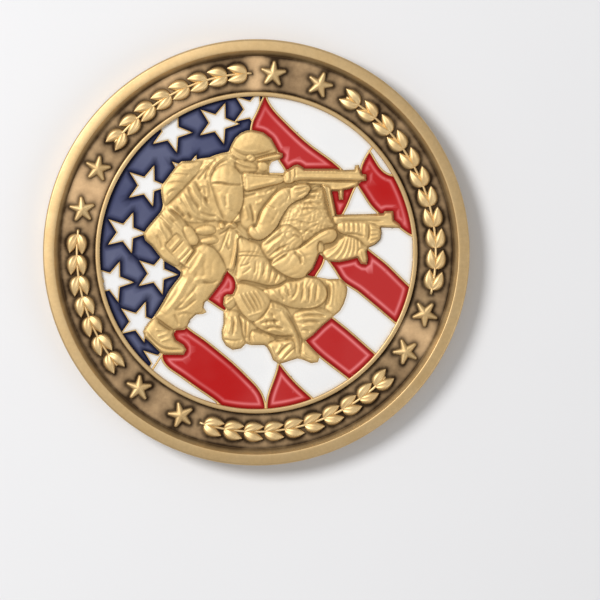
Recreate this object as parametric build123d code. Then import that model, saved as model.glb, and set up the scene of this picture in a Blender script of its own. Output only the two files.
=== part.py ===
from build123d import *
from math import atan2, cos, hypot, radians, sin
import os

# Challenge coin, struck in one piece and filled with soft enamel.
# Frame: millimetres, coin lying flat, +Z out of the obverse, +Y towards the top of the design.
# The origin is at the centre of the reverse rim's plane.

# ---- driving dimensions ----
COIN_R = 22.225          # 1.75 inch coin
THICK = 3.0              # rim to rim
EDGE_ROUND = 0.30        # rounding between the rim and the coin's edge
RIM_FLAT_OUT = 21.90     # outer radius of the rim's flat top
RIM_FLAT_IN = 21.10      # inner radius of the rim's flat top
RIM_FOOT = 20.55         # foot of the slope inside the rim
RING_IN = 16.30          # thin raised ring around the picture
RING_OUT = 16.80
RING_DRAFT = 0.05        # how far the ring's outer side leans in
WALL = 0.22              # width of the metal walls between two enamel cells

# Depths below the rim, the same on both faces
RING_DEPTH = 0.20
ORNAMENT_DEPTH = 0.22    # tops of the leaves and small stars
WALL_DEPTH = 0.55        # tops of the walls between cells
BAND_DEPTH = 0.70        # floor of the band
ENAMEL_DEPTH = 0.63      # surface of the enamel
CELL_DEPTH = 0.95        # floor of the enamel cells
FIGURE_DEPTH = 0.35      # lowest level of the figures
FIGURE_TOP_DEPTH = 0.05  # highest mass of the figures

MIN_CELL_AREA = 0.03     # smaller gaps between walls stay metal
WEDGE_REACH = 3          # radii that the cutter of a sector reaches out to
UPRIGHT = 90             # angle of a star that stands on two tips


# ---- small helpers: plane shapes ----
def polar(radius, degrees):
    return (radius * cos(radians(degrees)), radius * sin(radians(degrees)))


def outline(points):
    return make_face(Polyline(*points, close=True))


def between(start, end, share):
    return (start[0] + (end[0] - start[0]) * share, start[1] + (end[1] - start[1]) * share)


def large_enough(shape):
    """The shape without the slivers that are too small to be filled."""
    return Sketch() + [face for face in shape.faces() if face.area > MIN_CELL_AREA]


def star(centre, tip, inner, turn):
    """Five-pointed star with its first tip at the angle turn."""
    points = []
    for k in range(10):
        radius = inner if k % 2 else tip
        x, y = polar(radius, turn + 36 * k)
        points.append((centre[0] + x, centre[1] + y))
    return outline(points)


def lens(start, end, width):
    """Leaf shape: two arcs between its two tips."""
    dx = end[0] - start[0]
    dy = end[1] - start[1]
    length = hypot(dx, dy)
    mid = ((start[0] + end[0]) / 2, (start[1] + end[1]) / 2)
    nx = -dy / length * width / 2
    ny = dx / length * width / 2
    side_a = ThreePointArc(start, (mid[0] + nx, mid[1] + ny), end)
    side_b = ThreePointArc(end, (mid[0] - nx, mid[1] - ny), start)
    return make_face([side_a, side_b])


def seam(points, width=WALL):
    """Wall of even width along a smooth line through the points."""
    left = []
    right = []
    for k, (x, y) in enumerate(points):
        x0, y0 = points[max(k - 1, 0)]
        x1, y1 = points[min(k + 1, len(points) - 1)]
        angle = atan2(y1 - y0, x1 - x0)
        nx = -sin(angle) * width / 2
        ny = cos(angle) * width / 2
        left.append((x + nx, y + ny))
        right.append((x - nx, y - ny))
    right.reverse()
    edges = [Spline(*left), Line(left[-1], right[0]), Spline(*right), Line(right[-1], left[0])]
    return make_face(edges)


def sector(inner, outer, start, end):
    """Part of a flat ring between two angles, less than 180 degrees apart."""
    far = outer * WEDGE_REACH
    wedge = outline([(0, 0), polar(far, start), polar(far, (start + end) / 2), polar(far, end)])
    return (Circle(outer) - Circle(inner)) & wedge


def holding(shape, point):
    """The one face of a plane shape that holds the point."""
    for face in shape.faces():
        if face.is_inside(Vector(point[0], point[1], 0)):
            return Sketch() + face
    raise ValueError(f"no cell at {point}")


def obverse_block(shape, low_depth, high_depth):
    """The shape as a block between two depths below the obverse rim."""
    return Pos(0, 0, THICK - low_depth) * extrude(shape, low_depth - high_depth)


def reverse_block(shape, low_depth, high_depth):
    """The shape is drawn as the reverse is seen, so it is mirrored onto the coin."""
    seen = mirror(shape, about=Plane.YZ)
    return Pos(0, 0, high_depth) * extrude(seen, low_depth - high_depth)


# ---- obverse picture: two crouching soldiers in front of a waving flag ----
REAR_SOLDIER = [
    (-0.4, 12.8), (0.7, 12.55), (1.55, 11.9), (2.0, 11.1), (2.3, 10.5), (2.75, 10.35),
    (2.75, 10.0), (2.45, 9.75), (1.6, 9.45), (1.35, 9.0), (1.35, 8.35), (2.8, 8.3), (3.0, 8.6),
    (3.4, 8.75), (3.9, 9.1), (4.3, 9.2), (4.7, 9.0), (5.0, 8.75), (8.2, 8.75), (8.9, 8.6),
    (10.2, 8.65), (10.3, 9.1), (10.7, 9.15), (10.8, 8.6), (11.05, 8.2), (11.45, 8.15),
    (11.45, 7.5), (10.9, 7.4), (10.5, 6.95), (9.6, 6.6), (9.1, 6.5), (9.05, 5.5), (8.6, 5.5),
    (8.5, 6.4), (7.85, 6.4), (8.4, 3.7), (2.4, 2.8), (1.2, 1.7), (0.2, 1.3), (-1.0, 1.0),
    (-2.3, 0.0), (-2.9, -1.7), (-3.3, -2.3), (-3.6, -3.0), (-4.2, -3.8), (-5.0, -4.85),
    (-5.4, -5.2), (-5.5, -5.7), (-5.2, -6.2), (-5.6, -6.4), (-6.3, -6.45), (-6.9, -7.0),
    (-7.2, -7.7), (-7.5, -8.05), (-8.4, -8.1), (-8.65, -8.5), (-8.4, -9.1), (-7.6, -9.6),
    (-7.3, -10.1), (-7.6, -10.65), (-9.6, -10.65), (-10.1, -10.35), (-11.0, -9.45),
    (-11.6, -8.9), (-11.85, -8.2), (-11.3, -7.3), (-10.75, -6.7), (-10.3, -6.0), (-9.75, -5.1),
    (-9.1, -3.9), (-8.5, -3.1), (-7.95, -2.4), (-7.9, -2.0), (-8.5, -1.5), (-9.2, -1.1),
    (-9.8, -0.7), (-10.3, -0.1), (-10.9, 0.7), (-11.6, 1.3), (-11.8, 2.0), (-11.4, 2.6),
    (-10.9, 3.2), (-10.3, 3.9), (-9.9, 4.4), (-9.75, 5.0), (-9.95, 6.3), (-9.9, 7.0),
    (-9.5, 7.5), (-8.9, 8.3), (-8.3, 9.1), (-7.8, 9.55), (-6.6, 9.6), (-5.8, 9.85),
    (-4.9, 9.95), (-4.3, 10.2), (-3.6, 10.4), (-2.9, 10.55), (-2.6, 11.3), (-2.2, 12.0),
    (-1.6, 12.5), (-1.0, 12.75),
]
FRONT_SOLDIER = [
    (8.2, 3.95), (12.2, 4.05), (13.2, 4.1), (13.4, 4.35), (14.25, 4.35), (14.35, 3.4),
    (14.9, 3.0), (15.1, 2.55), (13.0, 2.6), (13.05, 2.1), (12.95, 1.4), (12.4, 0.85),
    (11.7, 0.5), (11.5, 0.1), (11.65, -0.6), (11.5, -1.25), (10.9, -1.2), (10.5, -0.55),
    (9.6, -0.8), (8.6, -1.0), (7.8, -0.95), (7.1, -0.75), (6.9, -0.4), (6.55, -0.15),
    (6.25, -0.9), (5.9, -1.7), (5.3, -2.35), (6.1, -2.5), (7.6, -2.75), (8.75, -2.72),
    (9.35, -3.25), (9.5, -3.8), (9.4, -4.5), (9.1, -5.4), (8.7, -6.1), (8.0, -6.7),
    (6.8, -7.7), (5.9, -8.6), (5.1, -9.2), (5.3, -9.6), (5.9, -10.2), (6.6, -10.9),
    (6.4, -11.45), (5.7, -11.55), (4.9, -11.2), (4.3, -11.05), (3.6, -11.25), (2.7, -11.55),
    (2.3, -11.6), (1.7, -11.2), (1.5, -10.6), (1.1, -9.9), (0.8, -9.65), (-0.6, -9.65),
    (-1.1, -9.5), (-1.6, -10.0), (-2.5, -10.15), (-3.2, -9.7), (-3.6, -9.0), (-3.65, -8.2),
    (-3.45, -7.4), (-3.45, -6.2), (-3.2, -5.85), (-3.5, -5.4), (-3.4, -4.6), (-3.1, -4.35),
    (-2.5, -4.35), (-2.2, -3.7), (-2.2, -3.1), (-2.4, -2.6), (-3.0, -2.0), (-2.9, 0.4),
    (-1.9, 2.0), (1.0, 1.0), (2.4, 3.4), (3.3, 4.9), (5.0, 5.6), (6.8, 6.9), (7.7, 6.4),
]

# Walls between the flag's colours, each a smooth line from wall to wall
FLAG_SEAMS = [
    [(0.95, 16.5), (1.15, 15.9), (1.7, 15.0), (2.6, 14.0), (3.6, 13.0), (4.65, 12.0),
     (5.85, 11.0), (7.25, 10.0), (8.4, 9.1), (9.2, 8.3)],
    [(0.9, 16.6), (0.62, 15.9), (0.35, 15.3), (0.05, 14.6), (-0.35, 13.8), (-0.55, 13.0),
     (-0.6, 12.0)],
    [(12.3, 11.25), (11.75, 10.55), (11.4, 10.0), (10.95, 9.0), (10.8, 8.2)],
    [(11.7, 10.7), (12.2, 9.9), (12.65, 9.15), (13.2, 8.5), (13.9, 8.1), (14.8, 8.05)],
    [(10.3, 7.4), (10.7, 6.75), (11.2, 6.0), (11.85, 5.0), (12.5, 4.3), (13.2, 3.7)],
    [(10.4, 7.0), (9.9, 6.0), (9.5, 5.0), (9.1, 4.2), (8.8, 3.6)],
    [(14.4, 3.1), (15.2, 2.4), (16.0, 1.85), (16.8, 1.5)],
    [(11.4, 0.6), (12.0, 0.05), (12.7, -0.5), (13.4, -1.05), (14.4, -2.0), (15.4, -3.0),
     (16.6, -4.1)],
    [(7.2, -0.5), (7.75, -1.2), (8.3, -2.0), (8.8, -2.8), (9.5, -3.4), (10.4, -3.95),
     (11.4, -4.75), (12.6, -5.75), (13.6, -6.6), (15.0, -7.8)],
    [(7.1, -0.4), (6.95, -1.1), (6.65, -1.7), (6.25, -2.3), (6.1, -2.9)],
    [(7.2, -6.2), (8.0, -6.85), (9.2, -7.8), (10.6, -9.0), (12.0, -10.25), (13.0, -11.1)],
    [(4.6, -8.6), (5.15, -9.35), (6.1, -10.4), (7.4, -11.5), (8.7, -12.5), (10.1, -13.6)],
    [(2.3, -11.4), (3.4, -12.85), (4.6, -14.1), (5.7, -15.1), (6.3, -15.7)],
    [(2.3, -11.4), (2.1, -12.4), (1.6, -13.8), (1.2, -15.0), (1.1, -16.6)],
    [(-7.6, -7.4), (-6.9, -8.05), (-5.6, -8.95), (-4.2, -10.05), (-2.4, -11.55), (-0.7, -13.2),
     (0.5, -14.65), (0.85, -15.6), (0.95, -16.6)],
    [(-9.75, -10.3), (-9.85, -11.0), (-9.35, -11.85), (-8.2, -12.7), (-6.6, -13.85),
     (-5.0, -14.95), (-3.9, -15.8), (-3.4, -16.4)],
    [(-9.7, -10.3), (-10.15, -11.1), (-10.6, -11.8), (-11.1, -12.6)],
    [(-5.5, -4.7), (-4.9, -5.05), (-4.1, -5.6), (-3.2, -6.15)],
    [(2.2, 9.9), (2.5, 9.4), (2.85, 8.9), (3.1, 8.4)],
]

# A point inside each red or white enamel cell
FLAG_CELLS = {
    "red_enamel_upper": (3.2, 11.5),
    "red_enamel_right": (13.0, 7.0),
    "red_enamel_between_rifles": (8.3, 5.2),
    "red_enamel_middle": (12.0, -2.5),
    "red_enamel_elbow": (6.5, -1.1),
    "red_enamel_lower_right": (8.5, -9.5),
    "red_enamel_bottom": (2.8, -14.5),
    "red_enamel_lower_left": (-4.5, -12.5),
    "red_enamel_between_legs": (-3.5, -3.9),
    "white_enamel_top": (7.5, 12.5),
    "white_enamel_upper_right": (13.0, 9.5),
    "white_enamel_between_rifles": (10.5, 5.2),
    "white_enamel_chin": (2.1, 8.9),
    "white_enamel_right": (14.6, 0.0),
    "white_enamel_elbow": (7.5, -1.9),
    "white_enamel_middle": (11.5, -7.2),
    "white_enamel_lower_right": (5.6, -12.8),
    "white_enamel_bottom": (-2.0, -10.9),
    "white_enamel_lower_left": (-7.6, -13.9),
}
CANTON_POINT = (-12.3, 5.0)

# White stars in the blue canton; the ones that the figures hide in part are cut by them
STAR_TIP = 1.95
STAR_INNER = 0.82
STAR_WALL_TIP = 2.32
STAR_WALL_INNER = 0.98
STAR_TURN = 70
CANTON_STARS = [
    (-8.9, 12.6), (-4.0, 13.5), (-0.4, 14.9), (-11.4, 7.0), (-13.6, 2.1), (-10.4, -2.2),
    (-15.0, -3.0), (-12.3, -7.2), (-10.0, -11.6), (-7.0, 8.1),
]

# Masses of the figures: (outline, share of the relief height)
FIGURE_MASSES = [
    ([(-9.7, 5.6), (-9.6, 7.0), (-7.7, 9.3), (-5.4, 9.5), (-7.0, 7.4), (-9.0, 5.2)], 0.55),
    ([(-8.4, 5.4), (-5.2, 9.0), (-2.9, 10.2), (-0.9, 8.8), (-1.4, 4.4), (-3.0, 3.2),
      (-7.0, 3.4)], 0.60),
    ([(-4.6, 7.2), (-4.0, 8.7), (-2.6, 8.9), (-1.8, 7.4), (-2.6, 3.4), (-3.4, 4.0)], 0.85),
    ([(-2.5, 10.7), (-2.1, 11.8), (-0.4, 12.6), (1.4, 11.7), (2.1, 10.3), (0.2, 9.5),
      (-1.2, 9.4)], 0.90),
    ([(-1.3, 6.7), (-1.3, 8.3), (2.9, 8.2), (4.3, 9.0), (5.0, 8.6), (11.3, 8.0), (11.0, 7.6),
      (4.0, 7.5), (2.6, 7.2)], 0.95),
    ([(-0.7, 2.0), (0.4, 4.3), (2.4, 6.5), (4.8, 6.6), (4.4, 5.4), (3.2, 4.8), (2.1, 2.7),
      (0.3, 1.5)], 0.90),
    ([(-11.5, 2.0), (-9.8, 4.2), (-6.4, 3.2), (-5.6, 0.8), (-8.0, -1.7), (-10.2, -0.2)], 0.65),
    ([(-7.6, -2.2), (-5.8, 2.0), (-3.4, 0.6), (-3.2, -2.0), (-5.6, -5.0), (-7.6, -7.7),
      (-10.4, -6.5)], 0.75),
    ([(-11.6, -8.2), (-10.5, -6.9), (-8.7, -8.2), (-8.5, -9.2), (-7.5, -10.1), (-7.8, -10.5),
      (-9.6, -10.5)], 0.60),
    ([(2.6, 2.6), (3.4, 4.7), (5.2, 5.5), (6.9, 6.2), (7.6, 3.6), (8.0, 2.6), (5.0, 0.6),
      (3.6, 1.0)], 0.60),
    ([(0.7, 0.9), (3.9, 3.2), (5.3, 0.8), (8.1, 2.4), (8.3, 1.2), (6.7, 0.6), (5.9, -1.4),
      (4.4, -2.5), (2.2, -1.6)], 0.90),
    ([(8.4, 3.7), (14.2, 4.2), (14.2, 3.3), (12.9, 2.7), (12.8, 1.4), (11.5, 0.6),
      (11.3, -1.1), (10.9, -1.1), (10.5, -0.3), (7.3, -0.7), (8.4, 1.4)], 0.70),
    ([(-1.9, 1.6), (0.6, 0.6), (1.6, -1.4), (3.0, -2.8), (1.6, -3.4), (-1.9, -2.9)], 0.60),
    ([(1.6, -3.7), (3.2, -2.9), (6.4, -2.8), (7.3, -4.4), (5.6, -5.6), (2.6, -5.2)], 0.85),
    ([(-2.0, -4.0), (-0.4, -3.3), (3.8, -5.9), (4.4, -8.8), (0.0, -7.2)], 0.75),
    ([(7.8, -2.9), (9.2, -4.3), (8.5, -6.1), (5.6, -8.2), (4.2, -6.2), (6.6, -5.7)], 0.55),
    ([(-3.3, -6.4), (-1.8, -6.2), (-1.3, -9.4), (-2.4, -9.9), (-3.4, -9.0)], 0.55),
    ([(-0.7, -8.0), (3.9, -8.8), (4.4, -10.8), (2.6, -11.3), (1.6, -9.6), (-0.5, -9.4)], 0.65),
]

# ---- band of the obverse: small stars and laurel sprays ----
BAND_STARS = [84.6, 69.3, 152, 166, 229, 245, 340, 326.4]
BAND_MIDDLE_R = 18.7
BAND_STAR_TIP = 1.32
BAND_STAR_INNER = 0.58
# (first angle, last angle, leaf pairs)
OBVERSE_SPRAYS = [(93, 144, 8), (174, 221, 7), (253, 318, 10), (348, 422, 11)]
LEAF_LENGTH = 2.15
LEAF_WIDTH = 1.25
LEAF_LEAN = 33           # angle between a leaf and its stem
STEM_WIDTH = 0.28


def spray(first, last, pairs, radius):
    """Laurel spray along the band: a stem with pairs of leaves that lean away from it."""
    pitch = (last - first) / pairs
    shape = sector(radius - STEM_WIDTH / 2, radius + STEM_WIDTH / 2, first, last - pitch / 2)
    for k in range(pairs):
        base_angle = first + pitch * k
        base = polar(radius, base_angle)
        for side in (-1, 1):
            direction = base_angle + 90 - side * LEAF_LEAN
            dx, dy = polar(LEAF_LENGTH, direction)
            shape += lens(base, (base[0] + dx, base[1] + dy), LEAF_WIDTH)
    return shape


# ---- reverse picture: winged star above a green field with a black scroll ----
SCROLL_START = 194
SCROLL_END = 346
FIELD_R = 14.9
SCROLL_LINES = [(15.25, 15.75), (16.1, 19.6), (19.9, 20.4)]
SCROLL_LEAVES = 9
SCROLL_LEAF_R = 17.85
SCROLL_LEAF_WIDTH = 1.9      # walls and their inner slope included
SCROLL_LEAF_SLOPE = 0.10     # width of that slope along each wall
SCROLL_LEAF_END = 0.8        # pitches from the scroll's end to the middle of its first leaf
SCROLL_LEAF_REACH = 0.42     # pitches from a leaf's middle to the tip of its walls
SCROLL_FILL_REACH = 0.33     # pitches from a leaf's middle to the tip of its enamel
FIELD_TOP = -0.6             # straight upper side of the green field
REVERSE_BAND_IN = 17.3
REVERSE_BAND = (30, 150)
REVERSE_SPRAYS = [(34, 78, 7), (102, 146, 7)]
REVERSE_SPRAY_R = 18.95
CREST_CENTRE = (0, 5.6)
CREST_TIP = 4.4
CREST_INNER = 1.75
FEATHERS = 7
FEATHER_WIDTH = 1.5
FEATHER_INSET = 0.10      # share of a feather's length that its walls take at each end
FEATHER_ROOTS = ((3.9, 3.6), (8.6, 8.3))     # first and last feather
FEATHER_FAN_CENTRE = (7.2, 7.2)
FEATHER_FAN_R = (12.4, 7.0)
FEATHER_FAN = (-8, 76)                       # angles from straight down
FIELD_STARS = [(-6.4, -7.2), (0, -9.6), (6.4, -7.2)]
FIELD_STAR_TIP = 1.9
FIELD_STAR_INNER = 0.8
FIELD_STAR_WALL_TIP = 2.4
FIELD_STAR_WALL_INNER = 1.0

WING = [
    (2.9, 4.2), (3.6, 6.6), (6.0, 8.6), (9.6, 9.3), (14.0, 8.9), (18.0, 7.2), (18.0, 5.2),
    (16.6, 3.4), (14.6, 2.2), (12.0, 1.3), (9.0, 1.0), (6.4, 1.4), (4.4, 2.6),
]


def feather_line(k):
    """Root and tip of one feather; they fan out from the shoulder to the wing's tip."""
    share = k / (FEATHERS - 1)
    (x0, y0), (x1, y1) = FEATHER_ROOTS
    root = (x0 + (x1 - x0) * share, y0 + (y1 - y0) * share)
    turn = radians(FEATHER_FAN[0] + (FEATHER_FAN[1] - FEATHER_FAN[0]) * share)
    tip = (FEATHER_FAN_CENTRE[0] + FEATHER_FAN_R[0] * sin(turn),
           FEATHER_FAN_CENTRE[1] - FEATHER_FAN_R[1] * cos(turn))
    return root, tip


def wing(side):
    """Outline of one wing, its feather walls and its feathers."""
    area = outline([(side * x, y) for x, y in WING])
    walls = Sketch()
    feathers = Sketch()
    for k in range(FEATHERS):
        (x0, y0), (x1, y1) = feather_line(k)
        start = (side * x0, y0)
        end = (side * x1, y1)
        walls += lens(start, end, FEATHER_WIDTH)
        inner_start = between(start, end, FEATHER_INSET)
        inner_end = between(end, start, FEATHER_INSET)
        feathers += lens(inner_start, inner_end, FEATHER_WIDTH - 2 * WALL)
    return area, walls, feathers


# ---- plane layout of the obverse cells ----
figures = outline(REAR_SOLDIER) + outline(FRONT_SOLDIER)
picture = Circle(RING_IN) - figures
for line in FLAG_SEAMS:
    picture -= seam(line)

cells = {}
for name, point in FLAG_CELLS.items():
    cells[name] = holding(picture, point)

canton = holding(picture, CANTON_POINT)
star_walls = Sketch()
star_faces = Sketch()
for centre in CANTON_STARS:
    star_walls += star(centre, STAR_WALL_TIP, STAR_WALL_INNER, STAR_TURN)
    star_faces += star(centre, STAR_TIP, STAR_INNER, STAR_TURN)
cells["white_enamel_stars"] = large_enough(canton & star_faces)
cells["blue_enamel_canton"] = large_enough(canton - star_walls)

# ---- plane layout of the reverse cells, drawn as the reverse is seen ----
back_cells = {}
crest = star(CREST_CENTRE, CREST_TIP + WALL, CREST_INNER + WALL, UPRIGHT)
wing_areas = Sketch()
for label, side in (("left", -1), ("right", 1)):
    area, feather_walls, feather_faces = wing(side)
    wing_areas += area
    back_cells[f"grey_enamel_{label}_wing"] = feather_faces
    back_cells[f"black_enamel_{label}_wing"] = large_enough(area - feather_walls - crest)

field_stars = Sketch()
field_star_walls = Sketch()
for centre in FIELD_STARS:
    field_stars += star(centre, FIELD_STAR_TIP, FIELD_STAR_INNER, UPRIGHT)
    field_star_walls += star(centre, FIELD_STAR_WALL_TIP, FIELD_STAR_WALL_INNER, UPRIGHT)
lower_half = Pos(0, FIELD_TOP - FIELD_R) * Rectangle(2 * FIELD_R, 2 * FIELD_R)
back_cells["green_enamel_field"] = large_enough(
    (Circle(FIELD_R) & lower_half) - field_star_walls - wing_areas
)
back_cells["black_enamel_field_stars"] = field_stars

scroll_leaves = Sketch()
scroll_leaf_walls = Sketch()
leaf_pitch = (SCROLL_END - SCROLL_START) / (SCROLL_LEAVES - 1 + 2 * SCROLL_LEAF_END)
scroll_fill_width = SCROLL_LEAF_WIDTH - 2 * (WALL + SCROLL_LEAF_SLOPE)
for k in range(SCROLL_LEAVES):
    middle = SCROLL_START + leaf_pitch * (k + SCROLL_LEAF_END)
    start = polar(SCROLL_LEAF_R, middle - leaf_pitch * SCROLL_LEAF_REACH)
    end = polar(SCROLL_LEAF_R, middle + leaf_pitch * SCROLL_LEAF_REACH)
    scroll_leaf_walls += lens(start, end, SCROLL_LEAF_WIDTH)
    start = polar(SCROLL_LEAF_R, middle - leaf_pitch * SCROLL_FILL_REACH)
    end = polar(SCROLL_LEAF_R, middle + leaf_pitch * SCROLL_FILL_REACH)
    scroll_leaves += lens(start, end, scroll_fill_width)
back_cells["green_enamel_scroll_leaves"] = scroll_leaves
scroll_middle = (SCROLL_START + SCROLL_END) / 2
for label, (inner, outer) in zip(("inner_line", "scroll", "outer_line"), SCROLL_LINES):
    band = sector(inner, outer, SCROLL_START, scroll_middle)
    band += sector(inner, outer, scroll_middle, SCROLL_END)
    back_cells[f"black_enamel_{label}"] = band - scroll_leaf_walls if label == "scroll" else band

# ---- struck body ----
rim_low = EDGE_ROUND
rim_high = THICK - EDGE_ROUND
corner = COIN_R - RIM_FLAT_OUT
arc_share = sin(radians(45))    # height of a quarter arc's middle, in radii
section = [
    Line((0, WALL_DEPTH), (RIM_FOOT, WALL_DEPTH)),
    Line((RIM_FOOT, WALL_DEPTH), (RIM_FLAT_IN, 0)),
    Line((RIM_FLAT_IN, 0), (RIM_FLAT_OUT, 0)),
    ThreePointArc((RIM_FLAT_OUT, 0),
                  (RIM_FLAT_OUT + corner * arc_share, rim_low * (1 - arc_share)),
                  (COIN_R, rim_low)),
    Line((COIN_R, rim_low), (COIN_R, rim_high)),
    ThreePointArc((COIN_R, rim_high),
                  (RIM_FLAT_OUT + corner * arc_share, THICK - rim_low * (1 - arc_share)),
                  (RIM_FLAT_OUT, THICK)),
    Line((RIM_FLAT_OUT, THICK), (RIM_FLAT_IN, THICK)),
    Line((RIM_FLAT_IN, THICK), (RIM_FOOT, THICK - BAND_DEPTH)),
    Line((RIM_FOOT, THICK - BAND_DEPTH), (RING_OUT, THICK - BAND_DEPTH)),
    Line((RING_OUT, THICK - BAND_DEPTH), (RING_OUT - RING_DRAFT, THICK - RING_DEPTH)),
    Line((RING_OUT - RING_DRAFT, THICK - RING_DEPTH), (RING_IN, THICK - RING_DEPTH)),
    Line((RING_IN, THICK - RING_DEPTH), (RING_IN, THICK - WALL_DEPTH)),
    Line((RING_IN, THICK - WALL_DEPTH), (0, THICK - WALL_DEPTH)),
    Line((0, THICK - WALL_DEPTH), (0, WALL_DEPTH)),
]
body = revolve(Plane.XZ * make_face(section), Axis.Z)

# obverse: figures stand on the field, leaves and stars stand on the band
body += obverse_block(figures, CELL_DEPTH, FIGURE_DEPTH)
for points, share in FIGURE_MASSES:
    top = FIGURE_DEPTH + (FIGURE_TOP_DEPTH - FIGURE_DEPTH) * share
    body += obverse_block(outline(points), WALL_DEPTH, top)
band_shapes = Sketch()
for angle in BAND_STARS:
    band_shapes += star(polar(BAND_MIDDLE_R, angle), BAND_STAR_TIP, BAND_STAR_INNER, angle)
for first, last, pairs in OBVERSE_SPRAYS:
    band_shapes += spray(first, last, pairs, BAND_MIDDLE_R)
body += obverse_block(band_shapes, BAND_DEPTH, ORNAMENT_DEPTH)

# reverse: recessed band with two sprays, and a raised crest
body -= reverse_block(sector(REVERSE_BAND_IN, RIM_FOOT, *REVERSE_BAND), BAND_DEPTH, 0)
back_band = Sketch()
for first, last, pairs in REVERSE_SPRAYS:
    back_band += spray(first, last, pairs, REVERSE_SPRAY_R)
back_band += star(polar(REVERSE_SPRAY_R, UPRIGHT), BAND_STAR_TIP, BAND_STAR_INNER, UPRIGHT)
body += reverse_block(back_band, BAND_DEPTH, ORNAMENT_DEPTH)
body += reverse_block(star(CREST_CENTRE, CREST_TIP, CREST_INNER, UPRIGHT), WALL_DEPTH, RING_DEPTH)

# cells are cut into both faces and filled with enamel
fills = {}
for name, shape in cells.items():
    body -= obverse_block(shape, CELL_DEPTH, 0)
    fills[name] = obverse_block(shape, CELL_DEPTH, ENAMEL_DEPTH)
for name, shape in back_cells.items():
    body -= reverse_block(shape, CELL_DEPTH, 0)
    fills[name] = reverse_block(shape, CELL_DEPTH, ENAMEL_DEPTH)

# ---- output ----
os.makedirs("parts", exist_ok=True)
export_step(body, "parts/coin_body.step")
for name, fill in fills.items():
    export_step(fill, f"parts/{name}.step")
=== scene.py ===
import bpy
import numpy as np
from math import ceil, cos, hypot, pi, radians, sin
from mathutils import Matrix, Vector
from mathutils.geometry import delaunay_2d_cdt


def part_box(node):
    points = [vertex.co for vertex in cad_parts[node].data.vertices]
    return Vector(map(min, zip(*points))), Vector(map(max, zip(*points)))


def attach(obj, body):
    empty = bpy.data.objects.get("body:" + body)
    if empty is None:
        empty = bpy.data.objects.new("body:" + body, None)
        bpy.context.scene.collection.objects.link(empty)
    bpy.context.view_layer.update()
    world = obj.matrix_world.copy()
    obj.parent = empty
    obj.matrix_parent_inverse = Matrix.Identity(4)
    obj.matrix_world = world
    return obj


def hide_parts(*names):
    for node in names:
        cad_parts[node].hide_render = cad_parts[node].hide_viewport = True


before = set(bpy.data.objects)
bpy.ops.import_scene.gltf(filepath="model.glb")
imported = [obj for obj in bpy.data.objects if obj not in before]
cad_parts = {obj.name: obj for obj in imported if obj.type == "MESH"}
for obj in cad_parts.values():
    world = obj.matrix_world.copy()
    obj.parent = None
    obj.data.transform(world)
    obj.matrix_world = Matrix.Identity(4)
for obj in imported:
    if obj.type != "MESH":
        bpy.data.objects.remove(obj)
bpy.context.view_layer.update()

# Everything below is worked out in millimetres and written to the meshes in metres.
MM = 0.001

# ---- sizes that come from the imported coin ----
body_low, body_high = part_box("coin_body")
cell_low, cell_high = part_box("red_enamel_upper")
THICK = (body_high.z - body_low.z) / MM
COIN_R = (body_high.x - body_low.x) / 2 / MM
ENAMEL_TOP = cell_high.z / MM
CELL_FLOOR = cell_low.z / MM

# ---- sizes that the coin's design gives, as in its CAD source ----
RIM_IN = 21.10
RIM_FOOT = 20.55
RING_IN = 16.30
RING_OUT = 16.80
RING_TOP = THICK - 0.20
WALL_TOP = THICK - 0.55
BAND_FLOOR = THICK - 0.70
BAND_R = 18.7
REVERSE_BAND_IN = 17.3
REVERSE_BAND_R = 18.95
REVERSE_BAND = (30, 150)
CREST_CENTRE = (0, 5.6)
CREST_TIP = 4.4
CREST_INNER = 1.75

# ---- plane geometry ----
CORNER_CUT = 0.25
NO_LENGTH = 1e-12


def polar(radius, degrees):
    """Point at that radius and angle about the coin's axis."""
    return (radius * cos(radians(degrees)), radius * sin(radians(degrees)))


def rounded(points, closed=True, passes=2):
    """Corner-cut line through the given points."""
    line = np.array(points, float)
    for _ in range(passes):
        after = np.roll(line, -1, axis=0) if closed else line[1:]
        before = line if closed else line[:-1]
        near = before * (1 - CORNER_CUT) + after * CORNER_CUT
        far = before * CORNER_CUT + after * (1 - CORNER_CUT)
        cut = np.empty((len(near) * 2, 2))
        cut[0::2] = near
        cut[1::2] = far
        if not closed:
            cut = np.vstack([line[:1], cut, line[-1:]])
        line = cut
    return line


def segments_of(line, closed=True):
    """Rows of x0, y0, x1, y1 between the line's points."""
    ends = np.roll(line, -1, axis=0) if closed else line[1:]
    starts = line if closed else line[:-1]
    return np.hstack([starts, ends])


def distance(x, y, segments):
    """Distance from every point to the nearest of the segments, and whether it lies inside them."""
    best = np.full(x.shape, np.inf)
    inside = np.zeros(x.shape, bool)
    for x0, y0, x1, y1 in segments:
        dx = x1 - x0
        dy = y1 - y0
        square = dx * dx + dy * dy
        if square < NO_LENGTH:
            continue
        t = np.clip(((x - x0) * dx + (y - y0) * dy) / square, 0, 1)
        gap = (x - x0 - t * dx) ** 2 + (y - y0 - t * dy) ** 2
        np.minimum(best, gap, out=best)
        if y0 != y1:
            crosses = ((y0 > y) != (y1 > y)) & (x < (y - y0) * dx / dy + x0)
            inside ^= crosses
    return np.sqrt(best), inside


def signed(x, y, segments):
    """Distance to the outline, positive inside it."""
    gap, inside = distance(x, y, segments)
    return np.where(inside, gap, -gap)


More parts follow.
